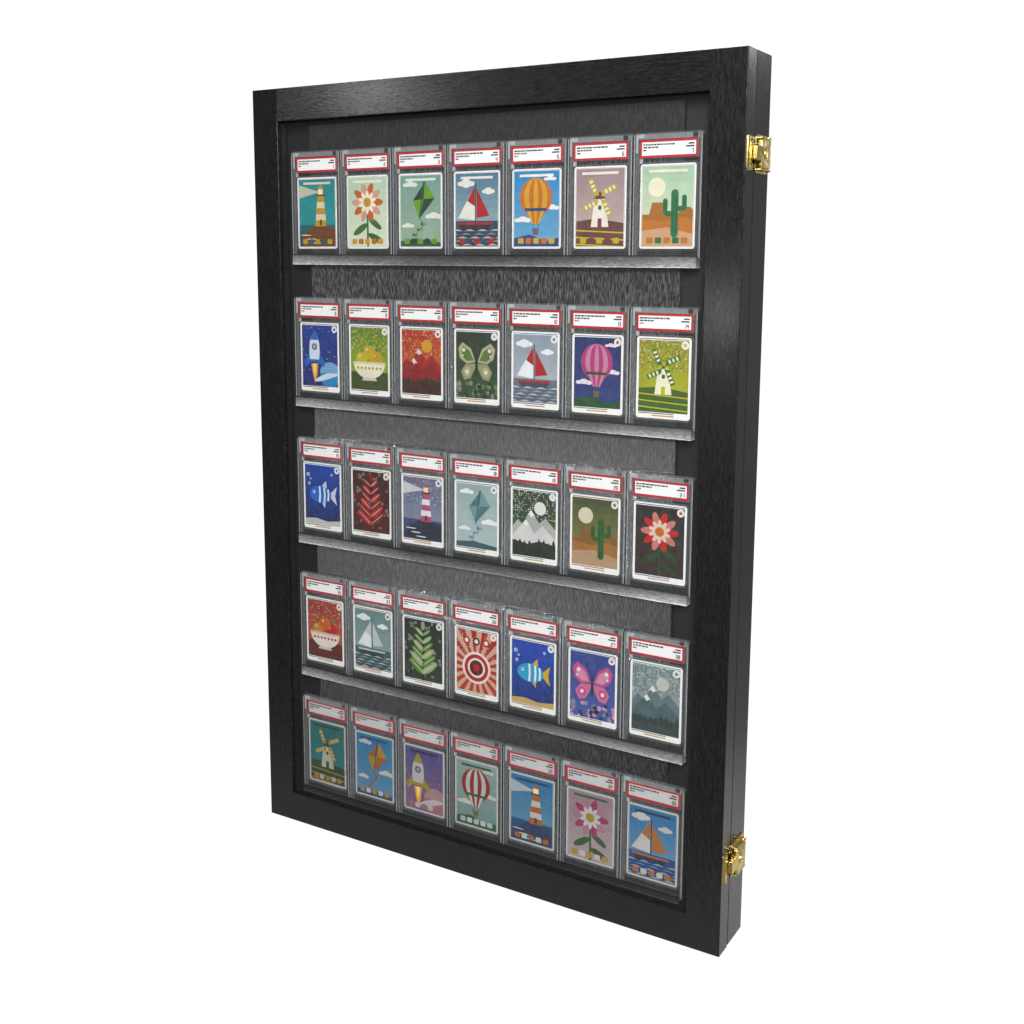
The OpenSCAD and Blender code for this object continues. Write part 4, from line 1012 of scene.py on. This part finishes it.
def leaves(c, p):
    a = c.w / c.h
    c.bands(-1, 1, p[1], p[0], 5)
    c.dots(-a, -1, a, 1, [lerp(p[1], p[5], 0.25), lerp(p[0], (0, 0, 0), 0.2)], 60, 0.06, 21, 8)
    c.shape([(-0.04, -1.1), (0.06, -1.1), (0.02, 0.8), (-0.02, 0.8)], p[4]); c.up()
    for k in range(6):
        z = -0.74 + k * 0.25
        ln = 0.36 - 0.035 * k
        for s in (-1, 1):
            t = 38
            x, zz = s * (ln * 0.85 * math.cos(math.radians(t))), z + ln * 0.85 * math.sin(math.radians(t))
            q = p[2] if (k + (s > 0)) % 2 == 0 else p[3]
            c.shape(ell(x, zz, ln, ln * 0.34, 20, s * t), q); c.up()
            c.shape(ell(x, zz, ln * 0.9, 0.012, 10, s * t), p[5]); c.up()
    c.shape(ell(0, 0.82, 0.07, 0.14, 16), p[3]); c.up()


H = hexc
# pictures by row: motif, and its colours as sky, lower sky, main, second, ground, light
PICTURES = [
    [(lighthouse, "1f9aa0 2aa7a5 17686e d8b02a 7a4a2a f2e6c8"), (flower, "cfe6cf e9f0d8 d8784a e0b43a 4c7a3c fbf3e0"),
     (kite, "8fb6a8 b7cdb6 24402f 7fb23c 3f5a48 eef2e4"), (sailboat, "5f86a0 a9c2cc 2f4f66 c2342c 3a2a2a f4f1e6"),
     (balloon, "3f9ad6 8cc6ea e0852a f0c040 1f4f86 fbf6ea"), (windmill, "b79aa0 d9c3bd 8a3f4a d6c83a 6a4a3f f6efe2"),
     (desert, "bfe0c4 e6efcf 2f7a4c d88a4a 8a6a3a f8f2da")],
    [(rocket, "12409a 0f2f74 2f74d0 3fa0d8 0f2448 e6eef8"), (fruit, "7a9a3c a9bf58 e0b82a d8d23a 4a5a2a f6f2dc"),
     (mountains, "c84a32 e08a4a 9a2a22 f0b84a 4a2018 f6e6d8"), (butterfly, "2a3a2a 3f5a3a d2c8a8 6a8a4a 20301c f0ece0"),
     (sailboat, "a9b6c2 c8d0d6 7a8a98 c2342c 4a4f58 f4f6f8"), (balloon, "20306a 3a4a8a c8508a e0a0b8 2f5a34 f2eaf0"),
     (windmill, "a8a83a c8c858 d8d03a 3f7a38 4f6a2a f8f4d8")],
    [(fish, "1a4fb0 123a86 3a7ae0 e0e8f4 0f2a5a f4f8fc"), (leaves, "3a1412 5a1c18 c8322a 8a1f1c 1c1010 f0d8cc"),
     (lighthouse, "7a86a0 9aa2b8 3a4a7a c86a8a 2a3040 f2f0f4"), (kite, "b8cccc d0dedd 5a8a90 8fb0b4 4a6a6c f8fafa"),
     (mountains, "2a4a30 4a6a44 e8e8e4 f2f2ea 1c2c1c fcfcf8"), (desert, "4a5a34 8f8a54 2f6a34 b8844f 4a3420 efe6d0"),
     (flower, "26221f 3a2a22 d8342a e88a2a 2a4a24 f6e0d0")],
    [(fruit, "b0463a c8705a d83a30 e8a04a 6a2a24 f6ece2"), (sailboat, "7f9c9c a2b8b6 4a6e70 d8e0dc 2f4648 f2f6f4"),
     (leaves, "1f2a20 2f3f2c 6a9a3f c0c8a0 141c14 eef0dc"), (rays, "b8302a d2503a f0c8b0 c8342c 5a1a18 faf0e6"),
     (fish, "1a56c0 1446a0 38b8e0 f0c83a 0f2f66 eef8fc"), (butterfly, "3f4f9a 5a6ab0 e06a9a f0b0c8 26305a f8eef6"),
     (mountains, "96a8aa b4c0c0 5a7072 d8dcd2 3c4c4c f2f4f2")],
    [(windmill, "148a8c 2aa0a0 0f5a5c e0b83a 3a5a30 f2ead0"), (kite, "4aa6e0 90caee e08a2a f2c44a 2f6aa0 fbf8ee"),
     (rocket, "6a6ab0 b88ab0 d8c83a e0a0a8 3a3460 f6eef2"), (balloon, "c8e0d8 a8d0c8 c8302c f4f4ee 2f7a5a fbfaf4"),
     (lighthouse, "48a0de 8cc8ee 2a6aa0 e8902a 30507a fbf8f0"), (flower, "d8b8c4 ecd8d8 d05a86 e8d03a 4c7a48 fcf6f2"),
     (sailboat, "4a9ee0 92c8f0 2a6ab8 f09a2a 24406a fbf8f2")],
]


def draw_card(row, col):
    b = Build()
    cx, cz = (col - 3) * PITCH, ROW_TOP[row] - CARD_DROP - CARD_H / 2
    motif, words = PICTURES[row][col]
    fleck = (row, col) in ((1, 1), (1, 2), (1, 6), (2, 2), (2, 4), (3, 0), (3, 3), (3, 6))
    p = [rich(H(w)) for w in words.split()]
    # painted shade: the bottom row's pictures are drawn darker
    if row == 4:
        p = [lerp((0.0, 0.0, 0.0), c, 0.6) for c in p]
    old = row in (0, 4)
    if old:
        # a picture to a narrow margin, with a plain band across its top and a row of blocks along its foot
        w, h, oz = 58.4, 83.8, 0.0
        b.ring(rr(w + 1.7, h + 1.7, 1.2, cx, cz, 3), rr(w + 1.0, h + 1.0, 0.9, cx, cz, 3), Y_PRINT - 0.04, Y_PRINT + 0.02, 0, p[4])
        c = Card(b, cx, cz, w, h, 0, oz)
        motif(c, p)
        c.up()
        y = Y_PRINT - c.depth - 0.01
        b.prism(rect(cx - 22, cz + h / 2 - 6.4, cx + 22, cz + h / 2 - 3.6), y, Y_PRINT + 0.02, 0, p[5] if row == 0 else p[4])
        for k in range(5):
            b.prism(rr(7.6, 6.4, 1.6, cx - 20 + k * 10, cz - h / 2 + 6.2), y, Y_PRINT + 0.02, 0, (p[3], p[2])[k % 2] if row == 0 else (p[3], p[5])[k % 2])
    else:
        # a white margin, deeper at the foot, with a coloured rule above and below and a plain mark at the upper right
        w, h, oz = 58.4, 78.6, 1.7
        c = Card(b, cx, cz, w, h, 0, oz)
        if fleck:
            c.confetti = (0.15, 1.0, [p[5], p[3], p[2], lerp(p[4], (0, 0, 0), 0.3), lerp(p[1], p[5], 0.4), H("2c3a5c"), H("b8302a")], row * 10 + col)
        motif(c, p)
        rule = H(("1f7a44", "8a2f2a", "24509a")[(row + col) % 3])
        b.prism(rect(cx - w / 2, cz + oz + h / 2 + 0.8, cx + w / 2, cz + oz + h / 2 + 1.7), Y_PRINT - 0.05, Y_PRINT + 0.02, 0, rule)
        b.prism(rect(cx - w / 2, cz + oz - h / 2 - 1.8, cx + w / 2 - 16, cz + oz - h / 2 - 0.8), Y_PRINT - 0.05, Y_PRINT + 0.02, 0, rule)
        b.prism(rect(cx - 13, cz - h / 2 + oz - 4.4, cx + 13, cz - h / 2 + oz - 3.0), Y_PRINT - 0.05, Y_PRINT + 0.02, 0, H("c89a5a"))
        y = Y_PRINT - c.depth - 0.02
        mx, mz = cx + w / 2 - 4.6, cz + oz + h / 2 - 4.6
        b.prism(ell(mx, mz, 4.3, 4.3, 24), y, Y_PRINT, 0, (0.86, 0.85, 0.8))
        star = []
        for k in range(10):
            r = 3.1 if k % 2 == 0 else 1.3
            t = math.radians(90 + 36 * k)
            star.append((mx + r * math.cos(t), mz + r * math.sin(t)))
        b.prism(star, y - 0.03, Y_PRINT, 0, p[2])
    o = b.make(f"card_picture_{row + 1}_{col + 1}", [INK])
    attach(o, "case")


for row in range(5):
    for col in range(7):
        draw_card(row, col)

# ------------------------------------------------------------------ hardware
SOFT = [("latch_catch_upper", "door"), ("latch_catch_lower", "door"), ("latch_base_upper", "case"), ("latch_base_lower", "case"),
        ("latch_lever_upper", "lever_upper"), ("latch_lever_lower", "lever_lower"),
        ("lock_plug_upper", "plug_upper"), ("lock_plug_lower", "plug_lower"),
        ("hinge_leaves_case", "case"), ("hinge_leaves_door", "door"), ("hinge_pins", "case")]
pressed = []
for node, body in SOFT:
    o = softened(node, node + "_pressed", 0.00035 if "hinge" in node or "plug" in node else 0.0006, BRASS)
    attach(o, body)
    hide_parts(node)
    pressed.append(o)

# ------------------------------------------------------------------ camera
F_PX = 1176.8
yaw, pitch, roll = math.radians(30.94), math.radians(-8.43), math.radians(0.29)
d = Vector((-math.sin(yaw) * math.cos(pitch), math.cos(yaw) * math.cos(pitch), math.sin(pitch)))
r = Vector((math.cos(yaw), math.sin(yaw), 0))
u = r.cross(d)
r2 = r * math.cos(roll) + u * math.sin(roll)
u2 = -r * math.sin(roll) + u * math.cos(roll)
cam = bpy.data.cameras.new("camera")
cam.sensor_width = 36
cam.sensor_fit = "HORIZONTAL"
cam.lens = 36 * F_PX / 1024
cam.shift_y = -80 / 1024
cam.clip_start = 0.01
co = bpy.data.objects.new("camera", cam)
scene.collection.objects.link(co)
co.matrix_world = Matrix((
    (r2.x, u2.x, -d.x, 0.7521), (r2.y, u2.y, -d.y, -1.2267), (r2.z, u2.z, -d.z, -0.154), (0, 0, 0, 1)))
scene.camera = co

# ------------------------------------------------------------------ studio
world = bpy.data.worlds.new("studio")
scene.world = world
world.use_nodes = True
wt = world.node_tree
wt.nodes.clear()
out = wt.nodes.new("ShaderNodeOutputWorld")
lp = wt.nodes.new("ShaderNodeLightPath")
tc = wt.nodes.new("ShaderNodeTexCoord")
sep = wt.nodes.new("ShaderNodeSeparateXYZ")
wt.links.new(tc.outputs["Generated"], sep.inputs[0])
ry = wt.nodes.new("ShaderNodeValToRGB")
my = wt.nodes.new("ShaderNodeMapRange")
wt.links.new(sep.outputs["Y"], my.inputs["Value"])
my.inputs["From Min"].default_value = -1
my.inputs["From Max"].default_value = 1
wt.links.new(my.outputs["Result"], ry.inputs["Fac"])
for el, (pos, v) in zip(ry.color_ramp.elements, ((0.3, 0.06), (0.85, 0.2))):
    el.position = pos
    el.color = (v, v, v * 1.01, 1)
bg1 = wt.nodes.new("ShaderNodeBackground")
wt.links.new(ry.outputs["Color"], bg1.inputs["Color"])
bg2 = wt.nodes.new("ShaderNodeBackground")
bg2.inputs["Color"].default_value = (1, 1, 1, 1)
bg2.inputs["Strength"].default_value = 1.05
mx = wt.nodes.new("ShaderNodeMixShader")
wt.links.new(lp.outputs["Is Camera Ray"], mx.inputs[0])
wt.links.new(bg1.outputs[0], mx.inputs[1])
wt.links.new(bg2.outputs[0], mx.inputs[2])
wt.links.new(mx.outputs[0], out.inputs["Surface"])


def area(name, pos, aim, size, power, tint=(1, 1, 1)):
    la = bpy.data.lights.new(name, "AREA")
    la.shape = "RECTANGLE"
    la.size, la.size_y = size
    la.energy = power
    la.color = tint
    o = bpy.data.objects.new(name, la)
    scene.collection.objects.link(o)
    o.location = pos
    o.rotation_euler = (Vector(aim) - Vector(pos)).to_track_quat("-Z", "Y").to_euler()
    o.visible_camera = False
    return o


def only(light, *names):
    """This light falls on these pieces only, as a flagged and cut studio lamp does."""
    group = bpy.data.collections.new(light.name + "_falls_on")
    for n in names:
        group.objects.link(nodes[n] if isinstance(n, str) else n)
    light.light_linking.receiver_collection = group


mid = (0, -0.06, -0.43)
area("key", (1.2, -2.2, 0.85), (0, -0.06, -0.35), (1.1, 1.1), 112)
only(area("sheen_rail", (-1.47, -1.8, 0.34), (-0.15, -0.07, 0.03), (0.2, 0.09), 1.5), "door_rail_top")
only(area("sheen_stile", (-0.35, -1.8, -0.3), (0.31, -0.07, -0.2), (0.06, 0.12), 0.58), "door_stile_right")
only(area("sheen_panel_a", (-1.6, -1.8, -0.694), (-0.17, -0.05, -0.37), (0.28, 0.09), 5.2), "display_panel")
only(area("sheen_panel_b", (-1.02, -1.8, -1.156), (0.02, -0.05, -0.56), (0.24, 0.09), 10.5), "display_panel")
only(area("sheen_panel_c", (-0.55, -1.8, -0.69), (0.2, -0.05, -0.37), (0.2, 0.09), 4.6), "display_panel")
only(area("side_top", (0.78, 1.2, 0.37), (0.33, -0.03, 0.05), (0.5, 0.1), 1.8), "door_stile_right", "case_top", "door_rail_top")
only(area("side_case", (0.78, 1.2, 0.37), (0.33, -0.03, 0.05), (0.5, 0.1), 0.75), "case_side_right")
only(area("brass_side", (1.0, 1.84, 0.14), (0.34, -0.03, -0.05), (0.5, 0.42), 0.9), *pressed)
area("back_fill", (-1.5, 2.5, 0.7), (0, 0, -0.4), (1.6, 1.6), 210)

fm = Graph("floor_white")
lpn = fm.add("LightPath")
e1 = fm.add("Emission", Color=(1, 1, 1, 1), Strength=1.05)
grain = fm.noise((3, 3, 3), 2.0, 0.5)
sweep = fm.range(fm.add("SeparateXYZ", Vector=fm.add("TexCoord").outputs["Object"]).outputs["Y"], -1.0, 4.0, 0.0, 1.0)
pool = fm.ramp(sweep, [(0.0, (0.05,) * 3), (0.03, (0.42,) * 3), (0.12, (0.42,) * 3), (0.16, (0.035,) * 3), (0.28, (0.5,) * 3), (0.38, (0.75,) * 3), (0.52, (0.25,) * 3), (0.75, (0.18,) * 3)])
e2 = fm.add("Emission", Color=fm.mix(fm.range(grain, 0.3, 0.7, 0.0, 0.2), pool, (0.1, 0.1, 0.1)))
fx = fm.add("MixShader", i0=lpn.outputs["Is Camera Ray"], i1=e2.outputs[0], i2=e1.outputs[0])
fm.surface(fx.outputs[0])
floor = Build()
floor.v = [(-5000, -5000, -1350), (5000, -5000, -1350), (5000, 5000, -1350), (-5000, 5000, -1350)]
floor._face([0, 1, 2, 3], 0, None)
fo = floor.make("floor", [fm.mat])

scene.view_settings.view_transform = "Standard"
scene.view_settings.look = "None"
scene.view_settings.exposure = 0
scene.view_settings.gamma = 1
scene.cycles.transparent_max_bounces = 32
